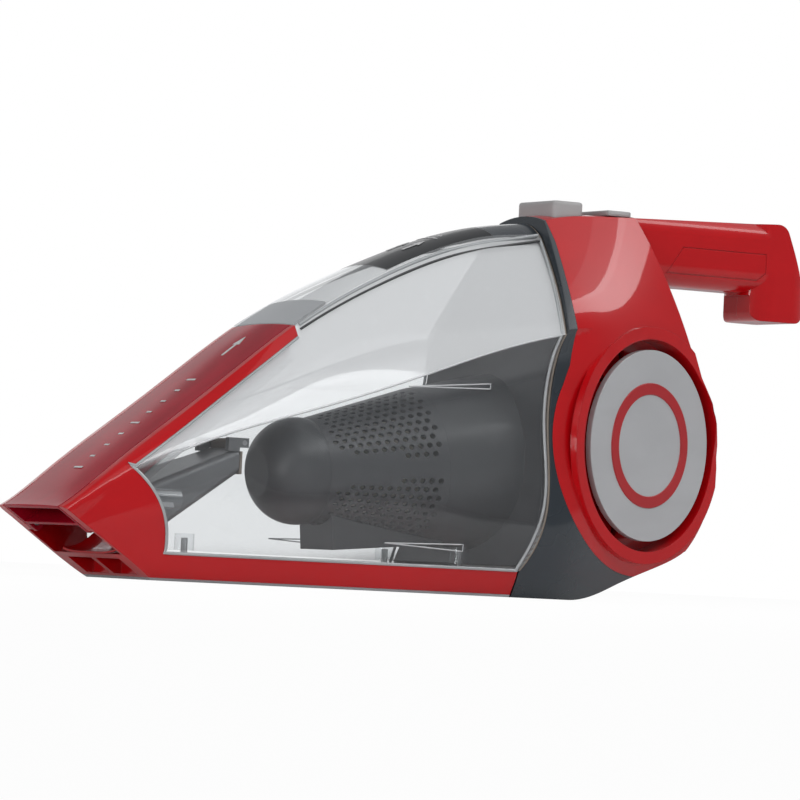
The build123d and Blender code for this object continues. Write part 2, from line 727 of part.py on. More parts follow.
def make_pleated_filter():
    """Folded paper ring inside the screen."""
    outer, inner = [], []
    for i in range(2 * PLEATS):
        angle = pi * i / PLEATS
        radius = PLEAT_RADIUS if i % 2 else PLEAT_RADIUS - PLEAT_DEPTH
        outer.append((radius * cos(angle), radius * sin(angle)))
        inner.append(((radius - PAPER) * cos(angle), (radius - PAPER) * sin(angle)))
    x0 = CAP_END_X + SCREEN_WALL
    ring = []
    for points in (outer, inner):
        loop = Wire(Polyline(*[(x0, y, z) for y, z in points], close=True).edges())
        ring.append(extrude(Face(loop), amount=SCREEN_END_X - x0, dir=(1, 0, 0)))
    return FILTER * (ring[0] - ring[1])


def make_cup_seal():
    """Flat gasket between the cup's rim and the chassis."""
    ring = skin(FRONT_SECTIONS, 0.3) - skin(FRONT_SECTIONS, CUP_WALL - 0.2)
    ring = (ring & RIM_ZONE) - SEALED_ZONE
    return ring & block(-FAR, FAR, HALF_SPACE, SILL_Z + 0.5, FAR)


# ------------------------------------------------------------------ rear body

FLANK = Plane(
    origin=(DISC_X, -DISC_HALF_WIDTH, DISC_Z),
    x_dir=(cos(radians(TAPER)), sin(radians(TAPER)), 0),
    z_dir=(sin(radians(TAPER)), -cos(radians(TAPER)), 0),
)


def disc_cylinder(radius, low, high):
    """Round body square to the flank, between two heights above it."""
    return Pos(0, 0, (low + high) / 2) * Cylinder(radius, high - low)


def red_zone(inset=0.0):
    """Side outline of the housing: a round end below and a leaning neck above it."""
    radius, reach = RED_RADIUS - inset, RED_REACH - inset
    front = NECK_FRONT_X if inset == 0 else NECK_FRONT_X - 60
    neck = [
        (front, 220.0),
        (front, NECK_SHOULDER_Z + 44),
        (front - 5.5, NECK_SHOULDER_Z),
        (front - 6.5, NECK_SHOULDER_Z - 15),
        (front - 11.7, NECK_SHOULDER_Z - 31),
        (DISC_X, DISC_Z),
        *[(x - inset, z) for x, z in reversed(NECK_BACK)],
        (NECK_BACK[0][0] - inset - 15, 220.0),
    ]
    upright = Plane(origin=(DISC_X, -HALF_SPACE, DISC_Z), x_dir=(1, 0, 0), z_dir=(0, 1, 0))
    zone = slab(neck) + extrude(upright * Ellipse(reach, radius), amount=2 * HALF_SPACE)
    front_end = rod_y(DISC_X, DISC_Z, radius, -HALF_SPACE, HALF_SPACE)
    zone += front_end & block(-FAR, DISC_X, HALF_SPACE, -FAR, FAR)
    if inset:
        zone += block(-FAR, DISC_X, HALF_SPACE, -20, 170)
    return zone - behind_neck(inset)


def behind_neck(inset=0.0):
    """Everything behind the back of the neck and the round rear end below it."""
    back = [(x - inset, z) for x, z in NECK_BACK]
    return slab([*back, (FAR, back[-1][1]), (FAR, 240.0), (back[0][0] - 20, 240.0)])


def belly(lift=0.0):
    """Everything below the underside, which is flat and then rises towards the rear."""
    curve = Spline(
        (BASE_END_X, -HALF_SPACE, lift),
        (BASE_END_X + 30, -HALF_SPACE, lift + 8.5),
        (BASE_END_X + 60, -HALF_SPACE, lift + 19.0),
        (BASE_END_X + 76, -HALF_SPACE, lift + 26.0),
        tangents=[(1, 0, 0), (1, 0, 0.6)],
    )
    rest = Polyline(
        (BASE_END_X + 76, -HALF_SPACE, lift + 26.0),
        (BASE_END_X + 76, -HALF_SPACE, -50),
        (-FAR, -HALF_SPACE, -50),
        (-FAR, -HALF_SPACE, lift),
        (BASE_END_X, -HALF_SPACE, lift),
    )
    return extrude(face_of(curve, *rest.edges()), amount=2 * HALF_SPACE, dir=(0, 1, 0))


def latch_slot(top=LATCH_Z + LATCH_HEIGHT + 0.6):
    """Passage for the latch bar through the flange and the bulkhead."""
    return block(30, 62, LATCH_HALF + CONTROL_GAP, LATCH_Z - BUTTON_TRAVEL - 0.6, top)


def make_chassis():
    """Front frame of the rear body: bulkhead, rim band and flat underside."""
    zone = SEALED_ZONE - [
        red_zone(),
        belly(),
        block(DISC_X, FAR, HALF_SPACE, DISC_Z, FAR),
        block(CHASSIS_END_X, FAR, HALF_SPACE, -FAR, FAR),
    ]
    inside = behind_rim(SEAL_THICKNESS + BULKHEAD) - belly(BODY_WALL)
    cuts = [REAR_INNER & inside, rod_x(0, 60, MOTOR_Z, INTAKE_RADIUS), latch_slot()]
    for x, y in base_screws():
        cuts += [rod_z(x, side * y, -1, 12, SCREW_DIAMETER / 2) for side in (-1, 1)]
    return (REAR & zone) - cuts


def base_screws():
    """Places (x, |y|) of the screws that hold the battery cradle down."""
    return [(CELL_X + CELL_DIAMETER / 2 + CELL_GAP / 2, 22.0)]


def handle_shape(inset):
    """Handle bar with its down-turned end; inset gives the inside."""
    top, under, half = HANDLE_TOP_Z - inset, HANDLE_UNDER_Z + inset, HANDLE_HALF - inset
    end_x, hook_x, hook_z = HANDLE_END_X - inset, HOOK_X + inset, HOOK_Z + inset
    rounds = [0, 7 - inset, 8 - inset, 7 - inset, 5 - inset, 0, 0]
    outline = FilletPolyline(
        (HANDLE_FRONT_X, -HALF_SPACE, top - 3.4),
        (end_x - 15.5, -HALF_SPACE, top + 0.6),
        (end_x + 1.0, -HALF_SPACE, hook_z + 8),
        (end_x - 5.0, -HALF_SPACE, hook_z),
        (hook_x, -HALF_SPACE, hook_z),
        (hook_x, -HALF_SPACE, under - 1),
        (HANDLE_FRONT_X, -HALF_SPACE, under - 1),
        radius=rounds,
        close=True,
    )
    side_view = extrude(Face(Wire(outline.edges())), amount=2 * HALF_SPACE, dir=(0, 1, 0))
    bar = RectangleRounded(2 * half, top + 2 - under, HANDLE_ROUND - inset)
    bar = Plane.YZ.offset(HANDLE_FRONT_X) * Pos(0, (top + 2 + under) / 2) * bar
    bar = extrude(bar, amount=hook_x + 12 - HANDLE_FRONT_X)
    hook = RectangleRounded(end_x + 3 - hook_x + 3, 2 * half, HOOK_ROUND - inset)
    hook = extrude(Pos((end_x + hook_x) / 2, 0, hook_z - 2) * hook, amount=top + 4 - hook_z)
    return (side_view & bar) + (side_view & hook)


def grip_outline(grow):
    """Outline (x, z) of the panel let into each side of the handle."""
    x0, x1 = GRIP_FRONT_X - grow, GRIP_REAR_X + grow
    low, high = GRIP_LOW_Z - grow, GRIP_HIGH_Z + grow
    return [(x0, low), (x0 + 11, high), (x1, high), (x1, low + 7), (x1 - 8, low)]


def grip_panel(grow, depth):
    """Panel or pocket on the left side of the handle."""
    zone = slab(grip_outline(grow))
    return zone & (Pos(0, -HANDLE_HALF - 5 + depth / 2, 0) * Box(2 * FAR, 10 + depth, 2 * FAR))


def housing_half():
    """Left half of the housing, before its screw bores."""
    half = Pos(0, -FAR / 2, 0) * Box(2 * FAR, FAR, 2 * FAR)
    ring = FLANK * disc_cylinder(RING_RADIUS, -BODY_WALL, RING_HEIGHT) - behind_neck()
    outside = ((REAR & half) & (red_zone() - belly())) + ring
    hollow = (REAR_INNER & half) & (red_zone(BODY_WALL) - belly(BODY_WALL))
    hollow = (hollow + (handle_shape(HANDLE_WALL) & half)) - [
        FLANK * disc_cylinder(RECESS_RADIUS + BODY_WALL, -RECESS_DEPTH - BODY_WALL, 10),
        *[rod_y(x, z, BOSS_RADIUS, -HALF_SPACE, HALF_SPACE) for x, z in housing_screws()],
    ]
    vent = Pos(VENT_RADIUS, 0, -RECESS_DEPTH) * Box(9.0, 4.0, 12.0)
    vents = FLANK * Compound([Rot(0, 0, 360 * i / VENTS) * vent for i in range(VENTS)])
    slot = BUTTON_HALF + CONTROL_GAP
    slider_front = SWITCH_X - SWITCH_TRAVEL - CONTROL_GAP
    stem = STEM_HALF + CONTROL_GAP
    stem_x = SWITCH_X + SWITCH_LENGTH / 2
    cuts = [
        hollow,
        FLANK * disc_cylinder(RECESS_RADIUS, -RECESS_DEPTH, 20),
        vents,
        grip_panel(0.15, GRIP_THICKNESS),
        block(BUTTON_X - CONTROL_GAP, BUTTON_X + BUTTON_LENGTH + CONTROL_GAP, slot, 150, FAR),
        block(slider_front, SWITCH_X + SWITCH_LENGTH + CONTROL_GAP, slot, SWITCH_SEAT_Z, FAR),
        block(stem_x - SWITCH_TRAVEL - stem, stem_x + stem, stem, 165, FAR),
        rod_x(JACK_X, FAR, JACK_Z, JACK_RADIUS),
    ]
    return (outside + (handle_shape(0.0) & half)) - cuts


def make_housing_left(half):
    """Half with the blind bores that the screws bite into."""
    return half - [rod_y(x, z, SCREW_DIAMETER / 2, -8, 1) for x, z in housing_screws()]


def make_housing_right(half):
    """Half with the through bores and the sunk seats of the screw heads."""
    bores = [rod_y(x, z, SCREW_DIAMETER / 2, -1, HALF_SPACE) for x, z in housing_screws()]
    seats = [rod_y(x, z, SCREW_DIAMETER, SCREW_HEAD_Y, HALF_SPACE) for x, z in housing_screws()]
    return mirrored(half) - (bores + seats)


def housing_screws():
    """Places (x, z) of the screws that join the two halves."""
    return [(HANDLE_FRONT_X + 30, HANDLE_UNDER_Z + 15), (HOOK_X + 13, HANDLE_UNDER_Z + 4)]


def make_housing_screws():
    screws = []
    for x, z in housing_screws():
        shank = rod_y(x, z, SCREW_DIAMETER / 2, -8, SCREW_HEAD_Y)
        screws.append(shank + rod_y(x, z, SCREW_DIAMETER, SCREW_HEAD_Y, SCREW_HEAD_Y + 2))
    return Compound(screws)


def make_disc():
    """Round side cover of the left flank, on posts that stand on the recess floor."""
    body = disc_cylinder(DISC_RADIUS, DISC_PROUD - DISC_THICKNESS, DISC_PROUD)
    for i in range(DISC_POSTS):
        post = Pos(DISC_RADIUS * 0.6, 0, 0) * disc_cylinder(3.0, -RECESS_DEPTH, DISC_PROUD - 1)
        body += Rot(0, 0, 360 * i / DISC_POSTS + 30) * post
    return FLANK * body


# ------------------------------------------------------------------ controls

def make_release_button():
    """Large top button with a flange under the housing."""
    body = block(BUTTON_X, BUTTON_X + BUTTON_LENGTH, BUTTON_HALF, BUTTON_FOOT_Z, BUTTON_TOP_Z)
    body = fillet(body.edges().filter_by(Axis.Z), 3.0)
    body = fillet(body.edges().group_by(Axis.Z)[-1], 1.4)
    rear_x = BUTTON_X + BUTTON_LENGTH - 2
    return body - block(BUTTON_X + 2, rear_x, BUTTON_HALF - 2, BUTTON_FOOT_Z - 1, BUTTON_TOP_Z - 4)


def make_latch_bar():
    """Bar that the button pushes down, hooked under the cup's catch."""
    x0, x1 = LATCH_TIP_X, BUTTON_X + 6
    bar = block(x0, x1, LATCH_HALF, LATCH_Z, LATCH_Z + LATCH_HEIGHT)
    bar += block(x1 - 3, x1, LATCH_HALF, LATCH_Z, BUTTON_TOP_Z - 4)
    return bar


def spring_axis():
    """Place (x) of the return spring under the button."""
    return BUTTON_X + BUTTON_LENGTH - 6.5


def make_release_spring():
    """Coil spring between the bracket and the button, as a plain tube of its outline."""
    body = rod_z(spring_axis(), 0, BRACKET_Z, BUTTON_TOP_Z - 4, SPRING_RADIUS)
    return body - rod_z(spring_axis(), 0, BRACKET_Z - 1, BUTTON_TOP_Z, SPRING_RADIUS - 1.0)


def make_power_slider():
    """Thin sliding cap with a stem that works the switch."""
    body = block(SWITCH_X, SWITCH_X + SWITCH_LENGTH, BUTTON_HALF, SWITCH_SEAT_Z + 0.1, SWITCH_TOP_Z)
    body = fillet(body.edges().group_by(Axis.Z)[-1], 0.8)
    stem = SWITCH_X + SWITCH_LENGTH / 2
    return body + block(stem - STEM_HALF, stem + STEM_HALF, STEM_HALF, SWITCH_BODY_Z + FIT, SWITCH_SEAT_Z + 1)


def make_control_bracket():
    """Shelf across the neck that carries the spring, the switch and the circuit board."""
    shelf = skin(REAR_SECTIONS, BODY_WALL + FIT)
    return shelf & block(BUTTON_X - 2, SWITCH_X + SWITCH_LENGTH + 2, HALF_SPACE, BRACKET_Z - 2, BRACKET_Z)


def make_switch_body():
    stem = SWITCH_X + SWITCH_LENGTH / 2
    return block(stem - 10, stem + 7, 7, BRACKET_Z, SWITCH_BODY_Z)


def make_circuit_board():
    x = SWITCH_X + SWITCH_LENGTH - 4
    board = block(x, x + 1.6, 16, BRACKET_Z - 34, BRACKET_Z - 2)
    board += block(x + 1.6, x + 6, 6, BRACKET_Z - 20, BRACKET_Z - 10)
    return board


# ------------------------------------------------------------------ motor and fan

def make_motor_can():
    body = rod_x(MOTOR_X, MOTOR_X + MOTOR_LENGTH, MOTOR_Z, MOTOR_RADIUS)
    body -= rod_x(MOTOR_X + 2, MOTOR_X + MOTOR_LENGTH - 2, MOTOR_Z, MOTOR_RADIUS - 1.6)
    return body - rod_x(0, FAR, MOTOR_Z, SHAFT_DIAMETER / 2 + PIN_FIT)


def make_motor_shaft():
    return rod_x(IMPELLER_X - 2, MOTOR_X + MOTOR_LENGTH + 2, MOTOR_Z, SHAFT_DIAMETER / 2)


def make_armature():
    body = rod_x(MOTOR_X + 6, MOTOR_X + MOTOR_LENGTH - 8, MOTOR_Z, MOTOR_RADIUS - 6)
    return body - rod_x(0, FAR, MOTOR_Z, SHAFT_DIAMETER / 2)


def make_impeller():
    """Backplate, hub and straight leaning blades."""
    plate_x = IMPELLER_X + IMPELLER_WIDTH
    body = rod_x(plate_x - 1.6, plate_x, MOTOR_Z, IMPELLER_RADIUS)
    body += rod_x(IMPELLER_X, plate_x, MOTOR_Z, 5.0)
    length = IMPELLER_RADIUS - 9
    for i in range(BLADES):
        blade = Pos(0, 0, 9 + length / 2) * Rot(20, 0, 0) * Box(IMPELLER_WIDTH - 1, 1.4, length)
        body += Pos(IMPELLER_X + IMPELLER_WIDTH / 2, 0, MOTOR_Z) * Rot(360 * i / BLADES, 0, 0) * blade
    body &= rod_x(0, FAR, MOTOR_Z, IMPELLER_RADIUS)
    return body - rod_x(0, FAR, MOTOR_Z, SHAFT_DIAMETER / 2)


def make_fan_shroud():
    """Round fan case with an inlet collar that meets the bulkhead."""
    radius = IMPELLER_RADIUS + IMPELLER_GAP
    x0 = IMPELLER_X - IMPELLER_GAP - SHROUD_WALL
    x1 = MOTOR_X - GASKET
    body = rod_x(x0, x1, MOTOR_Z, radius + SHROUD_WALL)
    body -= rod_x(x0 + SHROUD_WALL, x1 - SHROUD_WALL, MOTOR_Z, radius)
    body += rod_x(0, x0, MOTOR_Z, INTAKE_RADIUS + 2) & behind_rim(SEAL_THICKNESS + BULKHEAD)
    cuts = [
        rod_x(0, x0, MOTOR_Z, INTAKE_RADIUS),
        rod_x(0, x0 + SHROUD_WALL + 1, MOTOR_Z, EYE_RADIUS),
        rod_x(x1 - 5, x1 + 5, MOTOR_Z, SHAFT_DIAMETER / 2 + 1),
    ]
    for i in range(6):
        cuts.append(Pos(x1, 0, MOTOR_Z) * Rot(60 * i, 0, 0) * Pos(0, 0, radius - 4) * Box(8, 12, 6))
    return body - cuts


def make_motor_gasket():
    x1 = MOTOR_X - GASKET
    return rod_x(x1, MOTOR_X, MOTOR_Z, MOTOR_RADIUS) - rod_x(x1 - 1, MOTOR_X + 1, MOTOR_Z, MOTOR_RADIUS - 6)


def make_motor_bracket():
    """Plate across the body that holds the rear of the motor."""
    x = MOTOR_X + MOTOR_LENGTH - 9
    half = flank(x + 3) - (RECESS_DEPTH + BODY_WALL) / cos(radians(TAPER)) - FIT
    return block(x, x + 3, half, MOTOR_Z - 24, MOTOR_Z + 24) - rod_x(0, FAR, MOTOR_Z, MOTOR_RADIUS)


# ------------------------------------------------------------------ batteries

def cell_places():
    pitch = CELL_DIAMETER + CELL_GAP
    return [(CELL_X + i * pitch, CELL_Z + j * pitch) for i in range(2) for j in range(2)]


def make_battery_cells():
    half = CELL_LENGTH / 2
    return Compound([rod_y(x, z, CELL_DIAMETER / 2, -half, half) for x, z in cell_places()])


def make_battery_cradle():
    """Base plate with two upright plates that the cells pass through."""
    pitch = CELL_DIAMETER + CELL_GAP
    reach = CELL_DIAMETER / 2 + CRADLE_WALL
    x0, x1 = CELL_X - reach, CELL_X + pitch + reach
    base = block(x0, x1, CELL_LENGTH / 2 - 3, BODY_WALL, CELL_Z - CELL_DIAMETER / 2 - FIT)
    plate = block(x0, x1, CELL_LENGTH / 2 - 6, BODY_WALL, CELL_Z + pitch + reach)
    plate -= block(x0 - 1, x1 + 1, CELL_LENGTH / 2 - 8, -FAR, FAR)
    body = (base + plate) - belly(BODY_WALL)
    for x, z in cell_places():
        body -= rod_y(x, z, CELL_DIAMETER / 2, -HALF_SPACE, HALF_SPACE)
    for x, y in base_screws():
        for side in (-1, 1):
            body -= rod_z(x, side * y, -1, 12, SCREW_DIAMETER / 2)
    return body


def make_base_screws():
    screws = []
    for x, y in base_screws():
        for side in (-1, 1):
            screws.append(rod_z(x, side * y, 0.4, CELL_Z - CELL_DIAMETER / 2 - FIT, SCREW_DIAMETER / 2))
    return Compound(screws)


def make_charging_jack():
    """Socket for the charger plug in the back of the housing."""
    body = rod_x(JACK_X, JACK_END_X, JACK_Z, JACK_RADIUS)
    return body - rod_x(JACK_END_X - 8, JACK_END_X + 1, JACK_Z, JACK_BORE)


# ------------------------------------------------------------------ whole part

def make_parts():
    """Every node of the vacuum cleaner, by name."""
    trim = deck_plate(TRIM_THICKNESS, CHANNEL_END_X, DECK_REAR_X + TRIM_LENGTH, 26.5, 25.6)
    label = deck_plate(LABEL_THICKNESS, LABEL_START_X, LABEL_END_X, 24.0, 19.5)
    catch = deck_plate(CATCH_THICKNESS, LABEL_END_X + FIT, 60.0, 19.5, 17.5) - RIM_ZONE
    housing = housing_half()
    disc = make_disc()
    grip = grip_panel(0.0, GRIP_THICKNESS) & handle_shape(0.0)
    return {
        "nozzle": make_nozzle(),
        "crevice_tool": make_tool(),
        "tool_pins": make_tool_pins(),
        "dust_cup": cup_body([trim, label, catch]),
        "deck_trim": trim,
        "deck_label": label,
        "cup_catch": catch,
        "inlet_duct": make_duct(),
        "inlet_flap": make_flap(),
        "flap_pin": make_flap_pin(),
        "wear_strip": make_wear_strip(),
        "sill_screws": make_sill_screws(),
        "filter_cap": make_filter_cap(),
        "filter_screen": make_filter_screen(),
        "filter_frame": make_filter_frame(),
        "pleated_filter": make_pleated_filter(),
        "cup_seal": make_cup_seal(),
        "chassis": make_chassis(),
        "housing_left": make_housing_left(housing),
        "housing_right": make_housing_right(housing),
        "housing_screws": make_housing_screws(),
        "side_cover_left": disc,
        "side_cover_right": mirrored(disc),
        "grip_left": grip,
        "grip_right": mirrored(grip),
        "release_button": make_release_button(),
        "latch_bar": make_latch_bar(),
        "release_spring": make_release_spring(),
        "power_slider": make_power_slider(),
        "control_bracket": make_control_bracket(),
        "switch_body": make_switch_body(),
        "circuit_board": make_circuit_board(),
        "motor_can": make_motor_can(),
        "motor_shaft": make_motor_shaft(),
        "armature": make_armature(),
        "impeller": make_impeller(),
        "fan_shroud": make_fan_shroud(),
        "motor_gasket": make_motor_gasket(),
        "motor_bracket": make_motor_bracket(),
        "battery_cells": make_battery_cells(),
        "battery_cradle": make_battery_cradle(),
        "base_screws": make_base_screws(),
        "charging_jack": make_charging_jack(),
    }


os.makedirs("parts", exist_ok=True)
for name, shape in make_parts().items():
    shape.label = name
    export_step(shape, f"parts/{name}.step")
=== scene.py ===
"""Handheld vacuum cleaner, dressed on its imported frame.

Lengths inside the classes are millimetres in the frame's own axes: +X runs
from the nose to the handle, +Y to the far side and +Z up. `Piece.place` turns
them into metres when a mesh is made.
"""
import json
import logging
import math
from dataclasses import dataclass, field
from enum import Enum, IntEnum
from typing import Any, ClassVar, Optional, Sequence, Union

import bmesh
import bpy
import numpy as np
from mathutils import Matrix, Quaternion, Vector
from mathutils.kdtree import KDTree


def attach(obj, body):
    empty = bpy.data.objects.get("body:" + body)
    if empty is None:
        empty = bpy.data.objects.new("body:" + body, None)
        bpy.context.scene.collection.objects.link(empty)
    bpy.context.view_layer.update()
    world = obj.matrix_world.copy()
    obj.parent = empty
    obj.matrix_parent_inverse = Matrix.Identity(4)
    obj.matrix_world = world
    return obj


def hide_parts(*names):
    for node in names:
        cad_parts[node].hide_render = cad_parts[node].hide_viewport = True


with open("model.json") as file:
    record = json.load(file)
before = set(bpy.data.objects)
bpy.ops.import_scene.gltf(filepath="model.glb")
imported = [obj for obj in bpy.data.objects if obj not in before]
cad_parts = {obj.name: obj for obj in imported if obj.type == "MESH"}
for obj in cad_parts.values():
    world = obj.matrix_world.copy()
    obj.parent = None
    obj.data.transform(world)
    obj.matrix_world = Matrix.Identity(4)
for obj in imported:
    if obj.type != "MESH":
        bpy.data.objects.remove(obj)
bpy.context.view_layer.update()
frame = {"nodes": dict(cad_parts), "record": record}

LOG = logging.getLogger("vacuum")
MM = 0.001
SIDES = ((-1.0, "left"), (1.0, "right"))
Array = np.ndarray
Colour = tuple[float, float, float]
Operand = Union["Value", float]


# ---------------------------------------------------------------- shader maths

class Value:
    """A socket that can be used in arithmetic: every operator adds one Math node."""

    def __init__(self, graph: "Graph", socket: bpy.types.NodeSocket) -> None:
        """Wraps a socket of the graph."""
        self.graph, self.socket = graph, socket

    def _math(self, operation: str, first: Operand, second: Operand) -> "Value":
        """Adds the Math node of one operation."""
        inputs = {0: first, 1: second}
        return self.graph.add("ShaderNodeMath", {"operation": operation}, inputs)[0]

    def __add__(self, other: Operand) -> "Value":
        """This plus the other."""
        return self._math("ADD", self, other)

    def __mul__(self, other: Operand) -> "Value":
        """This times the other."""
        return self._math("MULTIPLY", self, other)

    def __sub__(self, other: Operand) -> "Value":
        """This minus the other."""
        return self._math("SUBTRACT", self, other)

    def __rsub__(self, other: Operand) -> "Value":
        """The other minus this."""
        return self._math("SUBTRACT", other, self)

    __radd__ = __add__
    __rmul__ = __mul__

    def ramp(self, low: float, high: float, to_low: float = 0.0, to_high: float = 1.0) -> "Value":
        """Smooth step between two values as the socket goes from low to high.

        Args:
            low: where the step starts.
            high: where it ends.
            to_low: value up to the start.
            to_high: value from the end on.

        Returns:
            The stepped value.
        """
        settings = {"interpolation_type": "SMOOTHSTEP"}
        inputs = {0: self, 1: low, 2: high, 3: to_low, 4: to_high}
        return self.graph.add("ShaderNodeMapRange", settings, inputs)[0]


class Outputs:
    """Output sockets of one node, by number or name."""

    def __init__(self, graph: "Graph", node: bpy.types.Node) -> None:
        """Wraps a node of the graph."""
        self.graph, self.node = graph, node

    def __getitem__(self, key: Union[int, str]) -> Value:
        """The socket as a value."""
        return Value(self.graph, self.node.outputs[key])


class Graph:
    """Node tree of one material or world. Every node comes from `add`."""

    def __init__(self, name: str, world: Optional[bpy.types.World] = None) -> None:
        """Starts with an output and nothing else.

        Args:
            name: name of the new material.
            world: world to build, in place of a material.
        """
        self.owner = world or bpy.data.materials.new(name)
        self.owner.use_nodes = True
        self.tree = self.owner.node_tree
        self.tree.nodes.clear()
        kind = "ShaderNodeOutputWorld" if world else "ShaderNodeOutputMaterial"
        self.output = self.add(kind).node

    def add(self, kind: str, settings: Optional[dict] = None,
            inputs: Optional[dict] = None) -> Outputs:
        """Adds a node.

        Args:
            kind: node type.
            settings: attributes, set before the sockets.
            inputs: socket number or name to a constant or a Value.

        Returns:
            The node's outputs.
        """
        node = self.tree.nodes.new(kind)
        for key, value in (settings or {}).items():
            setattr(node, key, value)
        for key, value in (inputs or {}).items():
            if isinstance(value, Value):
                self.tree.links.new(value.socket, node.inputs[key])
            else:
                node.inputs[key].default_value = value
        return Outputs(self, node)

    def noise(self, size: float, detail: float = 2.0, scale: Sequence[float] = (1, 1, 1)) -> Value:
        """Noise between 0 and 1 on the object's own coordinates.

        Args:
            size: rough size of a grain in millimetres.
            detail: how many finer layers are added.
            scale: squeeze along each axis.

        Returns:
            The noise.
        """
        coordinates = self.add("ShaderNodeTexCoord")["Object"]
        squeeze = tuple(s / MM for s in scale)
        place = self.add("ShaderNodeMapping", {}, {"Vector": coordinates, "Scale": squeeze})[0]
        inputs = {"Vector": place, "Scale": 1 / size, "Detail": detail}
        return self.add("ShaderNodeTexNoise", {}, inputs)[0]

    def colours(self, share: Value, first: Colour, second: Colour) -> Value:
        """Mix of two colours."""
        inputs = {0: share, 6: opaque(first), 7: opaque(second)}
        return self.add("ShaderNodeMix", {"data_type": "RGBA"}, inputs)[2]

    def shaders(self, share: Operand, first: Value, second: Value) -> Value:
        """Mix of two shaders."""
        return self.add("ShaderNodeMixShader", {}, {0: share, 1: first, 2: second})[0]

    def principled(self, inputs: dict[str, Any]) -> Value:
        """Principled shader with the given sockets."""
        return self.add("ShaderNodeBsdfPrincipled", {}, inputs)[0]

    def rounded(self, radius: float) -> Value:
        """Normal that rounds sharp edges by a radius in millimetres."""
        return self.add("ShaderNodeBevel", {"samples": 4}, {"Radius": radius * MM})[0]

    def bump(self, height: Value, depth: float, normal: Optional[Value] = None) -> Value:
        """Normal from a height between 0 and 1.

        Args:
            height: the height.
            depth: millimetres that a height of 1 stands for.
            normal: normal under the bumps, if it isn't the mesh's own.

        Returns:
            The bumped normal.
        """
        inputs = {"Height": height, "Distance": depth * MM, "Strength": 1.0}
        if normal is not None:
            inputs["Normal"] = normal
        return self.add("ShaderNodeBump", {}, inputs)[0]

    def finish(self, shader: Value) -> Union[bpy.types.Material, bpy.types.World]:
        """Links the shader to the output and gives back the material or world."""
        self.tree.links.new(shader.socket, self.output.inputs["Surface"])
        return self.owner


def opaque(colour: Sequence[float]) -> tuple[float, ...]:
    """Colour with an alpha of one."""
    return (*colour, 1.0)


def dimmed(colour: Colour, share: float) -> Colour:
    """Colour times a share."""
    return tuple(c * share for c in colour)


def srgb(red: float, green: float, blue: float) -> Colour:
    """Linear colour of an 8-bit display colour, by the sRGB curve.

    Args:
        red: 0 to 255.
        green: 0 to 255.
        blue: 0 to 255.

    Returns:
        The linear colour.
    """
    levels = np.array((red, green, blue)) / 255
    linear = np.where(levels < 0.04045, levels / 12.92, ((levels + 0.055) / 1.055) ** 2.4)
    return tuple(linear.tolist())


# ---------------------------------------------------------------- finishes

class Finish:
    """Base of every finish: a name and one material, made when first asked for."""

    name: str
    _made: ClassVar[dict[str, bpy.types.Material]] = {}

    def material(self) -> bpy.types.Material:
        """The finish's only material.

        Returns:
            The material, which every piece with this finish shares.
        """
        if self.name not in Finish._made:
            Finish._made[self.name] = self.build(Graph(self.name))
        return Finish._made[self.name]

    def build(self, graph: Graph) -> bpy.types.Material:
        """Fills the graph of the material."""
        raise NotImplementedError


@dataclass(frozen=True)
class Moulded(Finish):
    """Moulded plastic: a colour with faint flow, uneven polish, grain and rounded edges."""

    name: str
    colour: Colour
    roughness: float = 0.35
    coat: float = 0.0
    coat_roughness: float = 0.05
    grain: float = 0.012
    grain_size: float = 0.35
    variation: float = 0.08
    metallic: float = 0.0
    specular: float = 0.5
    edge: float = 0.7

    def build(self, graph: Graph) -> bpy.types.Material:
        """Colour and roughness each follow a slow noise, the grain a fine one.

        Args:
            graph: empty graph of the material.

        Returns:
            The finished material.
        """
        flow = graph.noise(size=38.0, detail=3.0, scale=(1, 1, 2.2))
        polish = graph.noise(size=26.0)
        fine = graph.noise(size=self.grain_size)
        dark = dimmed(self.colour, 1 - 2 * self.variation)
        return graph.finish(graph.principled({
            "Base Color": graph.colours(flow.ramp(0.3, 0.7), dark, self.colour),
            "Roughness": self.roughness + polish.ramp(0.35, 0.65) * 0.03,
            "Metallic": self.metallic,
            "Normal": graph.bump(fine, self.grain, graph.rounded(self.edge)),
            "Coat Weight": self.coat,
            "Coat Roughness": self.coat_roughness,
            "Specular IOR Level": self.specular,
        }))


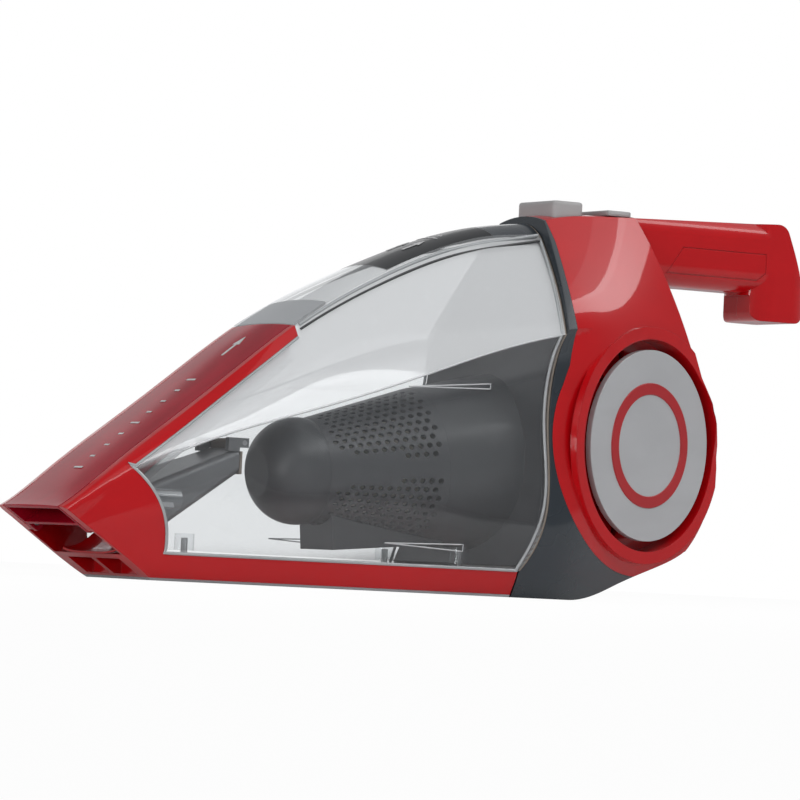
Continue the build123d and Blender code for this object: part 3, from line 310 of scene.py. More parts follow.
@dataclass(frozen=True)
class ClearPlastic(Finish):
    """Clear moulded wall: see-through, with a pale veil on raised flanks that is a painted
    reflection, mirror-like towards grazing.
    """

    name: str
    tint: Colour = (0.955, 0.962, 0.966)
    mirror: Colour = (0.9, 0.92, 0.93)
    veil_colour: Colour = (0.70, 0.71, 0.72)
    ior: float = 1.5
    haze: float = 0.02
    dust: float = 0.015
    shine: float = 1.5
    # Strength of the painted reflection on raised flanks.
    painted_reflection: float = 0.6

    def build(self, graph: Graph) -> bpy.types.Material:
        """A pale veil over the clear wall grows on dusty spots, and as a painted reflection where
        it faces up and outwards.

        Args:
            graph: empty graph of the material.

        Returns:
            The finished material.
        """
        dust = graph.noise(size=7.0, detail=6.0).ramp(0.5, 0.85) * self.dust
        geometry = graph.add("ShaderNodeNewGeometry")
        upwards = graph.add("ShaderNodeSeparateXYZ", {}, {0: geometry["Normal"]})[2]
        # Painted reflection: the veil is strongest on walls that face partly up and outwards,
        # weaker on flat tops.
        flank = upwards.ramp(0.12, 0.42) * upwards.ramp(0.72, 0.9, 1.0, 0.2)
        fresnel = graph.add("ShaderNodeFresnel", {}, {"IOR": self.ior})[0]
        clear = graph.add("ShaderNodeBsdfTransparent", {}, {"Color": opaque(self.tint)})[0]
        gloss = graph.principled({
            "Base Color": opaque(self.mirror), "Roughness": 0.04, "Metallic": 1.0,
        })
        veil = graph.principled({
            "Base Color": opaque(self.veil_colour), "Roughness": 0.5, "Specular IOR Level": 0.1,
        })
        hazy = graph.shaders(dust + self.haze + flank * self.painted_reflection, clear, veil)
        share = fresnel * self.shine * (1 - geometry["Backfacing"])
        return graph.finish(graph.shaders(share, hazy, gloss))


@dataclass(frozen=True)
class Tinted(Finish):
    """Deep tinted plastic: a glossy body that lets some light through."""

    name: str
    colour: Colour
    through: float = 0.15
    roughness: float = 0.12
    specular: float = 0.25
    variation: float = 0.18
    edge: float = 0.5

    def build(self, graph: Graph) -> bpy.types.Material:
        """Mixes the body with a translucent glow of the same colour.

        Args:
            graph: empty graph of the material.

        Returns:
            The finished material.
        """
        flow = graph.noise(size=30.0, scale=(1, 2.0, 1))
        dark = dimmed(self.colour, 1 - self.variation)
        body = graph.principled({
            "Base Color": graph.colours(flow.ramp(0.3, 0.7), dark, self.colour),
            "Roughness": self.roughness,
            "Normal": graph.rounded(self.edge),
            "Specular IOR Level": self.specular,
        })
        glow = graph.add("ShaderNodeBsdfTranslucent", {}, {"Color": opaque(self.colour)})[0]
        return graph.finish(graph.shaders(self.through, body, glow))


@dataclass(frozen=True)
class Metal(Finish):
    """Plain turned or drawn metal with fine streaks."""

    name: str
    colour: Colour

    def build(self, graph: Graph) -> bpy.types.Material:
        """Colour, roughness and height all follow one stretched noise.

        Args:
            graph: empty graph of the material.

        Returns:
            The finished material.
        """
        streaks = graph.noise(size=0.5, detail=3.0, scale=(1, 1, 0.1))
        return graph.finish(graph.principled({
            "Base Color": graph.colours(streaks, dimmed(self.colour, 0.8), self.colour),
            "Metallic": 1.0,
            "Roughness": 0.22 + streaks * 0.2,
            "Normal": graph.bump(streaks, depth=0.01),
        }))


@dataclass(frozen=True)
class Paper(Finish):
    """Pleated filter paper with fibres."""

    name: str
    dark: Colour = (0.62, 0.59, 0.52)
    pale: Colour = (0.80, 0.78, 0.72)

    def build(self, graph: Graph) -> bpy.types.Material:
        """Colour and height follow the fibres.

        Args:
            graph: empty graph of the material.

        Returns:
            The finished material.
        """
        fibres = graph.noise(size=0.8, detail=6.0, scale=(0.3, 1, 1))
        return graph.finish(graph.principled({
            "Base Color": graph.colours(fibres, self.dark, self.pale),
            "Roughness": 0.9,
            "Normal": graph.bump(fibres, depth=0.08),
        }))


class Finishes:
    """Every finish of the vacuum cleaner."""

    RED = Moulded("red_shell", srgb(194, 8, 18), roughness=0.3, coat=0.7, coat_roughness=0.04,
                  grain=0.002, grain_size=4.0, variation=0.03, specular=0.1, edge=0.9)
    RED_TOOL = Tinted("red_tool", srgb(182, 13, 40), specular=0.12)
    CLEAR = ClearPlastic("clear")
    # Hazy pale beads: a painted highlight on the cup's real crease, and painted highlights only on
    # the spears.
    HIGHLIGHT_LINE = ClearPlastic("highlight_line", haze=0.45)
    # Pale grey on the cup's real rounded edges: a painted highlight for the bright line along each
    # clear edge.
    CLEAR_EDGE_HIGHLIGHT = Moulded("clear_edge_highlight", srgb(172, 176, 178), roughness=0.16, coat=0.9,
                         coat_roughness=0.04, grain=0.0, grain_size=4.0)
    SHADOW_LINE = Moulded("shadow_line", srgb(38, 40, 42), roughness=0.3, coat=0.5,
                          coat_roughness=0.08, grain=0.0, grain_size=4.0)
    SLATE = Moulded("slate", srgb(35, 44, 52), roughness=0.26, coat=0.8, grain=0.002,
                    grain_size=4.0, variation=0.05, specular=0.3, edge=1.2)
    PALE = Moulded("pale_grey", srgb(176, 179, 182), roughness=0.42, coat=0.1,
                   coat_roughness=0.2, grain=0.006, grain_size=0.8, variation=0.03)
    BUTTON = Moulded("button_grey", srgb(176, 174, 174), roughness=0.4, grain=0.006,
                     grain_size=0.8, variation=0.03, edge=2.0)
    DISC = Moulded("disc_silver", srgb(196, 197, 199), roughness=0.36, coat=0.2,
                   coat_roughness=0.15, grain=0.004, grain_size=0.25, variation=0.03,
                   metallic=0.35)
    DISC_RED = Moulded("disc_red", srgb(176, 10, 22), roughness=0.34, coat=0.3,
                       coat_roughness=0.1, grain=0.003, grain_size=0.5, variation=0.03)
    DARK = Moulded("dark_grey", srgb(34, 36, 38), roughness=0.4, coat=0.2, coat_roughness=0.1,
                   grain=0.01, variation=0.05)
    LABEL = Moulded("deck_label", srgb(20, 23, 26), roughness=0.3, coat=0.3, grain=0.0,
                    grain_size=4.0, variation=0.04, specular=0.2)
    MARKING = Moulded("marking_white", srgb(226, 226, 226), roughness=0.5, grain=0.003)
    FILTER = Moulded("filter_grey", srgb(68, 69, 72), roughness=0.42, coat=0.15,
                     coat_roughness=0.2, grain=0.01, grain_size=0.3, variation=0.05)
    DUCT = Moulded("duct_grey", srgb(120, 122, 124), roughness=0.4, coat=0.2,
                   coat_roughness=0.2, grain=0.01, grain_size=0.4, variation=0.05)
    SOFT = Moulded("soft", srgb(150, 138, 126), roughness=0.6, grain=0.02, grain_size=0.25,
                   variation=0.05)
    BOARD = Moulded("board_green", srgb(20, 84, 50), roughness=0.4)
    CELL = Moulded("cell_wrap", srgb(44, 78, 120), roughness=0.3, coat=0.5)
    STEEL = Metal("steel", (0.55, 0.55, 0.56))
    COPPER = Metal("copper_core", (0.55, 0.30, 0.16))
    PAPER = Paper("paper")

    @classmethod
    def every(cls) -> list[Finish]:
        """All the finishes above."""
        return [finish for finish in vars(cls).values() if isinstance(finish, Finish)]


# ---------------------------------------------------------------- surfaces

class CubicTable:
    """Smooth natural curve through rows of values, one row per station."""

    def __init__(self, stations: Sequence[float], values: Sequence) -> None:
        """Solves the second derivatives: continuous slopes inside, no bend at either end.

        Args:
            stations: rising positions of the rows.
            values: one value or one row of values per station.
        """
        self.s = np.asarray(stations, float)
        self.v = np.asarray(values, float).reshape(len(self.s), -1)
        h = np.diff(self.s)
        n = len(self.s)
        system, right = np.eye(n), np.zeros_like(self.v)
        for i in range(1, n - 1):
            system[i, i - 1:i + 2] = h[i - 1], 2 * (h[i - 1] + h[i]), h[i]
            rise = (self.v[i + 1] - self.v[i]) / h[i] - (self.v[i] - self.v[i - 1]) / h[i - 1]
            right[i] = 6 * rise
        self.m = np.linalg.solve(system, right)

    def __call__(self, at: Array) -> Array:
        """Values at each station: cubic with the solved derivatives, flat beyond the ends.

        Args:
            at: stations.

        Returns:
            One row of values for each station.
        """
        at = np.clip(np.asarray(at, float), self.s[0], self.s[-1])
        i = np.clip(np.searchsorted(self.s, at) - 1, 0, len(self.s) - 2)
        h = (self.s[i + 1] - self.s[i])[..., None]
        a = (self.s[i + 1] - at)[..., None] / h
        b = 1 - a
        bend = ((a ** 3 - a) * self.m[i] + (b ** 3 - b) * self.m[i + 1]) * h ** 2 / 6
        return a * self.v[i] + b * self.v[i + 1] + bend


def lagrange(points: Sequence[Array], t: Array) -> Array:
    """Polynomial through equally spaced points: sum of each point times its Lagrange weight.

    Args:
        points: points with a last axis of coordinates.
        t: 0 at the first point and 1 at the last.

    Returns:
        One point for each t.
    """
    knots = np.linspace(0, 1, len(points))
    total = 0
    for i, point in enumerate(points):
        weight = np.ones_like(t)
        for j, knot in enumerate(knots):
            if j != i:
                weight = weight * (t - knot) / (knots[i] - knot)
        total = total + weight[..., None] * point
    return total


class Stretch(Enum):
    """The three stretches of one cross section, from the crown to the foot."""

    CROWN = "crown"
    UPPER = "upper"
    LOWER = "lower"


class Column(IntEnum):
    """Where each value of a section stands in its row, after the station.

    Crown and foot are one number; the others are a half width and a height.
    """

    DECK = 0
    CROWN = 2
    SHOULDER = 3
    WAIST = 5
    BULGE = 7
    SILL = 9
    FOOT = 11


@dataclass
class Skin:
    """Outer skin of the body, lofted through cross sections of a station and its columns."""

    rows: Sequence[Sequence[float]]
    upper_bulge: float = 1.2
    foot_z: float = -0.6
    side_steps: int = 160
    table: CubicTable = field(init=False)

    def __post_init__(self) -> None:
        """Fits the curves that run from section to section."""
        rows = np.asarray(self.rows, float)
        self.table = CubicTable(rows[:, 0], rows[:, 1:])

    def at(self, x: Array, t: Array, stretch: Stretch, side: float = -1.0) -> Array:
        """Points of the skin.

        The crown is a parabola between the deck edges. The upper side runs
        through deck edge, a point outside the middle, and shoulder; the lower
        side is the quartic through shoulder, waist, bulge, sill and foot.

        Args:
            x: station of each point.
            t: 0 to 1 along the stretch; the crown runs from edge to edge.
            stretch: which of the three stretches.
            side: -1 for the left side, 1 for the right.

        Returns:
            Points with a last axis of three.
        """
        x, t = np.broadcast_arrays(np.asarray(x, float), np.asarray(t, float))
        values = self.table(x)
        deck, shoulder, waist, bulge, sill = (
            values[..., c:c + 2]
            for c in (Column.DECK, Column.SHOULDER, Column.WAIST, Column.BULGE, Column.SILL)
        )
        if stretch is Stretch.CROWN:
            across = 2 * t - 1
            z = deck[..., 1] + values[..., Column.CROWN] * (1 - across ** 2)
            return np.stack([x, deck[..., 0] * across, z], -1)
        if stretch is Stretch.UPPER:
            line = [deck, (deck + shoulder) / 2 + self.upper_bulge, shoulder]
        else:
            foot = np.stack([values[..., Column.FOOT], np.full_like(x, self.foot_z)], -1)
            line = [shoulder, waist, bulge, sill, foot]
        yz = lagrange(line, t)
        return np.stack([x, side * yz[..., 0], yz[..., 1]], -1)

    def on_side(self, x: Array, z: Array, side: float = -1.0) -> Array:
        """Points of the side at given heights, each between two samples of its own section.

        Args:
            x: station of each point.
            z: height of each point.
            side: -1 for the left side, 1 for the right.

        Returns:
            One point for each station and height.
        """
        t = np.linspace(0, 1, self.side_steps)
        upper = self.at(x[:, None], t, Stretch.UPPER, side)
        lower = self.at(x[:, None], t, Stretch.LOWER, side)
        rising = np.concatenate([upper, lower[:, 1:]], axis=1)[:, ::-1]
        below = np.sum(rising[..., 2] <= z[:, None], axis=1) - 1
        below = np.clip(below, 0, rising.shape[1] - 2)
        each = np.arange(len(x))
        low, high = rising[each, below], rising[each, below + 1]
        share = np.clip((z - low[:, 2]) / (high[:, 2] - low[:, 2]), 0, 1)
        return np.stack([x, low[:, 1] + share * (high[:, 1] - low[:, 1]), z], -1)


NOSE_X, NOSE_Z = -207.0, 31.0
DECK_SLOPE = 89.0 / 116.0
DECK_NORMAL = np.array([-DECK_SLOPE, 0.0, 1.0]) / math.hypot(DECK_SLOPE, 1.0)
DECK_REAR_X = -91.0
FLANK_TAPER = 19.0
DISC_X, DISC_HALF_WIDTH = 96.5, 45.0


def deck_height(x: Union[float, Array]) -> Union[float, Array]:
    """Height of the straight sloping deck."""
    return NOSE_Z + DECK_SLOPE * (x - NOSE_X)


def flank_row(x: float, deck_half: float, deck_z: float, shoulder_z: float,
              foot: float) -> tuple[float, ...]:
    """Row of a rear section, whose flat flank comes in towards the back by its taper.

    Args:
        x: station.
        deck_half: half width of the deck.
        deck_z: height of the deck's edges.
        shoulder_z: height of the shoulder.
        foot: half width of the foot.

    Returns:
        The row, in the order of the columns.
    """
    half = DISC_HALF_WIDTH - math.tan(math.radians(FLANK_TAPER)) * (x - DISC_X)
    return (x, deck_half, deck_z, 1.6, half, shoulder_z, half, 90.0, half, 50.0,
            half - 3.0, 19.0, foot)


FRONT_ROWS = (
    (NOSE_X, 31.0, NOSE_Z, 0.5, 33.0, 24.0, 32.5, 19.0, 32.0, 13.0, 30.0, 6.0, 27.0),
    (-178.0, 31.2, deck_height(-178.0), 0.8, 36.5, 44.0, 37.0, 34.0, 36.5, 22.0, 34.0, 9.0, 29.5),
    (-160.0, 31.2, deck_height(-160.0), 1.0, 39.5, 55.0, 40.5, 42.0, 40.0, 26.0, 37.5, 10.5, 31.0),
    (-125.0, 30.4, deck_height(-125.0), 1.0, 45.5, 70.0, 46.0, 52.0, 45.5, 32.0, 43.5, 11.5, 36.0),
    (DECK_REAR_X, 29.5, 120.0, 1.2, 50.5, 81.0, 50.5, 60.0, 50.5, 36.0, 48.0, 12.0, 41.0),
    (-45.0, 27.0, 146.8, 3.0, 56.5, 97.0, 55.5, 72.0, 56.0, 41.0, 53.0, 12.0, 46.0),
    (-5.0, 24.0, 163.0, 4.6, 60.0, 112.0, 56.5, 80.0, 59.0, 42.0, 56.0, 12.5, 49.0),
    (25.0, 21.6, 169.6, 6.0, 60.5, 121.0, 56.5, 84.0, 60.8, 42.0, 57.5, 13.0, 50.5),
    (60.0, 19.0, 176.5, 6.4, 59.5, 128.0, 57.0, 88.0, 61.0, 42.0, 58.0, 14.0, 51.0),
)
REAR_ROWS = (
    FRONT_ROWS[-3],
    FRONT_ROWS[-2],
    (44.0, 20.0, 178.0, 3.2, 60.4, 127.0, 57.8, 88.0, 60.6, 44.0, 57.4, 14.5, 49.5),
    flank_row(62.0, 19.0, 182.4, 127.0, 44.0),
    flank_row(96.5, 18.0, 184.6, 124.0, 33.0),
    flank_row(125.0, 17.0, 186.0, 118.0, 26.0),
    flank_row(165.0, 12.0, 187.0, 112.0, 14.0),
)


def unit(vectors: Array) -> Array:
    """Vectors scaled to a length of one; a vector of no length stays as it is."""
    return vectors / np.maximum(np.linalg.norm(vectors, axis=-1, keepdims=True), 1e-9)


def grid_normals(points: Array) -> Array:
    """Unit normals of a grid: cross product of its two directions."""
    return unit(np.cross(np.gradient(points, axis=0), np.gradient(points, axis=1)))


def grid_faces(rows: int, columns: int, wrap_rows: bool = False,
               wrap_columns: bool = False) -> Array:
    """Quads of a grid whose points are numbered row by row.

    Args:
        rows: number of rows.
        columns: number of columns.
        wrap_rows: joins the last row to the first.
        wrap_columns: joins the last column to the first.

    Returns:
        Four vertex numbers for each quad.
    """
    r = np.arange(rows if wrap_rows else rows - 1)[:, None]
    c = np.arange(columns if wrap_columns else columns - 1)[None, :]
    r2, c2 = (r + 1) % rows, (c + 1) % columns
    quads = [r * columns + c, r2 * columns + c, r2 * columns + c2, r * columns + c2]
    return np.stack(quads, -1).reshape(-1, 4)


def capped(rings: Array) -> tuple[Array, list[list[int]]]:
    """Closed tube through rings of points, with a flat face on both ends.

    Args:
        rings: ring, point of the ring, coordinate.

    Returns:
        Vertices and faces.
    """
    count, around = rings.shape[:2]
    faces = grid_faces(count, around, wrap_columns=True).tolist()
    last = (count - 1) * around
    faces += [list(range(around)), list(range(last, last + around))]
    return rings.reshape(-1, 3), faces


def bead(path: Array, radius: float, sides: int = 12) -> tuple[Array, list[list[int]]]:
    """Round bead along a path: point + radius (cos a, sin a) in a frame square to the path.

    Args:
        path: points of the centre line.
        radius: radius of the bead.
        sides: corners of the round section.

    Returns:
        Vertices, and faces with both ends closed.
    """
    along = unit(np.gradient(path, axis=0))
    first = unit(np.cross(along, (0.31, 0.9, 0.2)))
    second = np.cross(along, first)
    a = np.linspace(0, 2 * math.pi, sides, endpoint=False)[None, :, None]
    ring = np.cos(a) * first[:, None] + np.sin(a) * second[:, None]
    return capped(path[:, None] + radius * ring)


class Guide:
    """Exact skin normals for the corners of a copied mesh."""

    STEP = 1.2
    ACROSS = 60
    MIDDLE = (0.0, 0.0, 70.0)
    NEIGHBOURS = 4
    SOFTENING = 0.02
    OUTER_DEPTH = 1.3
    INNER_DEPTH = 3.6
    LIMIT, EASED_LIMIT = 0.955, 0.9

    def __init__(self, skin: Skin, x0: float, x1: float, blend: float = 0.0) -> None:
        """Samples the skin.

        Args:
            skin: surface to follow.
            x0: first station.
            x1: last station.
            blend: reach in millimetres over which the shoulder crease is eased away.
        """
        self.trees: list[tuple[KDTree, Array]] = []
        self.limit = self.EASED_LIMIT if blend else self.LIMIT
        x = np.linspace(x0, x1, int((x1 - x0) / self.STEP))[:, None]
        t = np.linspace(0, 1, self.ACROSS)[None, :]
        self._add(*self._outward(skin.at(x, t, Stretch.CROWN)))
        for side, _ in SIDES:
            upper = skin.at(x, t, Stretch.UPPER, side)
            lower = skin.at(x, t, Stretch.LOWER, side)
            if blend:
                line, normals = self._outward(np.concatenate([upper, lower[:, 1:]], axis=1))
                self._add(line, self._eased(line, normals, blend))
            else:
                self._add(*self._outward(upper))
                self._add(*self._outward(lower))

    @classmethod
    def _outward(cls, points: Array) -> tuple[Array, Array]:
        """Points with the normals that face away from the middle of the body.

        Args:
            points: grid of points.

        Returns:
            The same points, and their unit normals.
        """
        normals = grid_normals(points)
        inward = np.sum((points - cls.MIDDLE) * (0, 1, 1) * normals, -1) < 0
        normals[inward] *= -1
        return points, normals

    @staticmethod
    def _eased(points: Array, normals: Array, reach: float) -> Array:
        """Averages normals down each section with the weight exp(-(distance / reach)^2 / 2).

        Args:
            points: sections of points.
            normals: their normals.
            reach: distance over which neighbours count.

        Returns:
            The averaged normals.
        """
        steps = np.linalg.norm(np.diff(points, axis=1), axis=2)
        along = np.concatenate([np.zeros((len(points), 1)), np.cumsum(steps, axis=1)], axis=1)
        width = np.gradient(along, axis=1)[:, None, :]
        apart = along[:, :, None] - along[:, None, :]
        return unit((np.exp(-(apart / reach) ** 2 / 2) * width) @ normals)

    def _add(self, points: Array, normals: Array) -> None:
        """Keeps one sampled surface as a search tree.

        Args:
            points: samples.
            normals: their normals.
        """
        flat = points.reshape(-1, 3)
        tree = KDTree(len(flat))
        for i, point in enumerate(flat):
            tree.insert(point, i)
        tree.balance()
        self.trees.append((tree, normals.reshape(-1, 3)))

    def _nearest(self, tree: KDTree, normals: Array, points: Array) -> tuple[Array, Array]:
        """Depth of each point under one surface, and the normal there.

        The normal is the mean of the nearest samples, each weighed by the
        inverse of its squared distance plus the softening.

        Args:
            tree: samples of the surface.
            normals: their normals.
            points: points to look up.

        Returns:
            Depths and unit normals; a point that is too deep has no normal.
        """
        near = np.zeros((len(points), 3))
        depth = np.full(len(points), np.inf)
        for i, point in enumerate(points):
            found = tree.find_n(point, self.NEIGHBOURS)
            if found[0][2] < self.INNER_DEPTH:
                depth[i] = found[0][2]
                weights = np.array([1 / (f[2] ** 2 + self.SOFTENING) for f in found])
                near[i] = weights @ normals[[f[1] for f in found]]
        return depth, unit(near)

    def normals(self, points: Array, flat: Array, corner_v: Array, corner_f: Array,
                smooth: Array) -> Array:
        """Skin normal on the skin, its reverse just inside it, else the smooth one.

        Args:
            points: vertices of the mesh.
            flat: normal of each face.
            corner_v: vertex of each corner.
            corner_f: face of each corner.
            smooth: normal that each corner has so far.

        Returns:
            One normal for each corner.
        """
        best = np.full(len(corner_v), self.limit)
        result = smooth.copy()
        for tree, normals in self.trees:
            depth, near = self._nearest(tree, normals, points)
            facing = np.sum(near[corner_v] * flat[corner_f], 1)
            outer = (depth[corner_v] < self.OUTER_DEPTH) & (facing > best)
            inner = (depth[corner_v] > self.OUTER_DEPTH) & (-facing > best)
            take = outer | inner
            sign = np.where(outer, 1.0, -1.0)[:, None]
            best[take] = np.abs(facing[take])
            result[take] = (near[corner_v] * sign)[take]
        return result


# ---------------------------------------------------------------- pieces

def body_of(node: str) -> str:
    """Body of the frame that carries a CAD node."""
    bodies = frame["record"]["behaviour"]["bodies"]
    return next(body for body, members in bodies.items() if node in members)


class Piece:
    """Puts finished meshes into the scene and ties them to the frame."""

    WELD = 2e-6

    @classmethod
    def place(cls, name: str, points: Array, faces: Sequence[Sequence[int]], finish: Finish,
              body: str, slot: str, replaces: Sequence[str] = (),
              normals: Optional[Array] = None, crease: float = 40.0,
              outwards: bool = True) -> bpy.types.Object:
        """Makes an object from points in millimetres.

        In a mesh without its own normals the points that coincide are joined,
        which closes seams and poles.

        Args:
            name: the object's name.
            points: vertices.
            faces: lists of vertex numbers.
            finish: its material.
            body: the frame's body that it rides on.
            slot: the record's material slot; not used.
            replaces: CAD nodes that it stands for.
            normals: one normal per face corner, if they are known.
            crease: edges sharper than this stay sharp.
            outwards: turns the faces of a joined mesh outwards.

        Returns:
            The new object.
        """
        mesh = bpy.data.meshes.new(name)
        mesh.from_pydata((points * MM).tolist(), [], faces)
        if normals is None:
            cls._join(mesh, outwards)
            mesh.shade_smooth()
            mesh.set_sharp_from_angle(angle=math.radians(crease))
        else:
            mesh.shade_smooth()
            mesh.normals_split_custom_set(normals.tolist())
        mesh.materials.append(finish.material())
        piece = bpy.data.objects.new(name, mesh)
        bpy.context.scene.collection.objects.link(piece)
        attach(piece, body)
        if replaces:
            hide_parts(*replaces)
        LOG.info("%s: %d faces on %s", name, len(mesh.polygons), body)
        return piece

    @classmethod
    def _join(cls, mesh: bpy.types.Mesh, outwards: bool) -> None:
        """Joins points that coincide.

        Args:
            mesh: mesh to change.
            outwards: turns its faces outwards too.
        """
        shape = bmesh.new()
        shape.from_mesh(mesh)
        bmesh.ops.remove_doubles(shape, verts=shape.verts, dist=cls.WELD)
        if outwards:
            bmesh.ops.recalc_face_normals(shape, faces=shape.faces)
        shape.to_mesh(mesh)
        shape.free()


class SmoothCopy:
    """Merged copy of a CAD node whose corners take area-weighted or exact skin normals."""

    def __init__(self, node: str, crease: float = 32.0, guide: Optional[Guide] = None) -> None:
        """Reads the node's mesh and works out its normals.

        Args:
            node: CAD node to copy.
            crease: faces that bend more than this, in degrees, don't share a normal.
            guide: skin that the node's outer faces lie on.
        """
        mesh = frame["nodes"][node].data
        co = np.empty(len(mesh.vertices) * 3)
        mesh.vertices.foreach_get("co", co)
        loops = np.empty(len(mesh.loops), int)
        mesh.loops.foreach_get("vertex_index", loops)
        rounded = np.round(co.reshape(-1, 3) / MM, 4)
        keys, index = np.unique(rounded, axis=0, return_inverse=True)
        faces = index.reshape(-1)[loops].reshape(-1, 3)
        keep = np.all(faces != np.roll(faces, 1, axis=1), axis=1)
        self.node, self.points, self.faces = node, keys, faces[keep]
        self.normals = self._corner_normals(math.cos(math.radians(crease)), guide)

    def _corner_normals(self, limit: float, guide: Optional[Guide]) -> Array:
        """Area-weighted sum over the faces round a corner's point that bend less than the crease.

        Args:
            limit: cosine of the crease angle.
            guide: skin whose normals come first.

        Returns:
            One unit normal for each corner.
        """
        p = self.points[self.faces]
        cross = np.cross(p[:, 1] - p[:, 0], p[:, 2] - p[:, 0])
        area = np.linalg.norm(cross, axis=1)
        flat = cross / np.maximum(area, 1e-12)[:, None]
        corner_v = self.faces.reshape(-1)
        corner_f = np.repeat(np.arange(len(self.faces)), 3)
        first, second = self._corner_pairs(corner_v)
        alike = np.sum(flat[corner_f[first]] * flat[corner_f[second]], 1) > limit
        weight = area[corner_f[second]] * alike
        total = np.stack([
            np.bincount(first, weight * flat[corner_f[second], axis], len(corner_v))
            for axis in range(3)
        ], -1)
        length = np.linalg.norm(total, axis=1, keepdims=True)
        smooth = np.where(length > 1e-12, total / np.maximum(length, 1e-12), flat[corner_f])
        if guide is not None:
            smooth = guide.normals(self.points, flat, corner_v, corner_f, smooth)
        return smooth

    def _corner_pairs(self, corner_v: Array) -> tuple[Array, Array]:
        """Every pair of corners that share a point, each corner with itself too.

        Args:
            corner_v: vertex of each corner.

        Returns:
            First and second corner of each pair.
        """
        order = np.argsort(corner_v, kind="stable")
        counts = np.bincount(corner_v, minlength=len(self.points))
        starts = np.cumsum(counts) - counts
        each = counts[corner_v[order]]
        step = np.arange(each.sum()) - np.repeat(np.cumsum(each) - each, each)
        second = order[np.repeat(starts[corner_v[order]], each) + step]
        return np.repeat(order, each), second

    def place(self, finish: Finish, slot: str) -> bpy.types.Object:
        """Puts the copy in the node's place."""
        return Piece.place(f"{self.node}_skin", self.points, self.faces.tolist(), finish,
                           body_of(self.node), slot, (self.node,), self.normals)


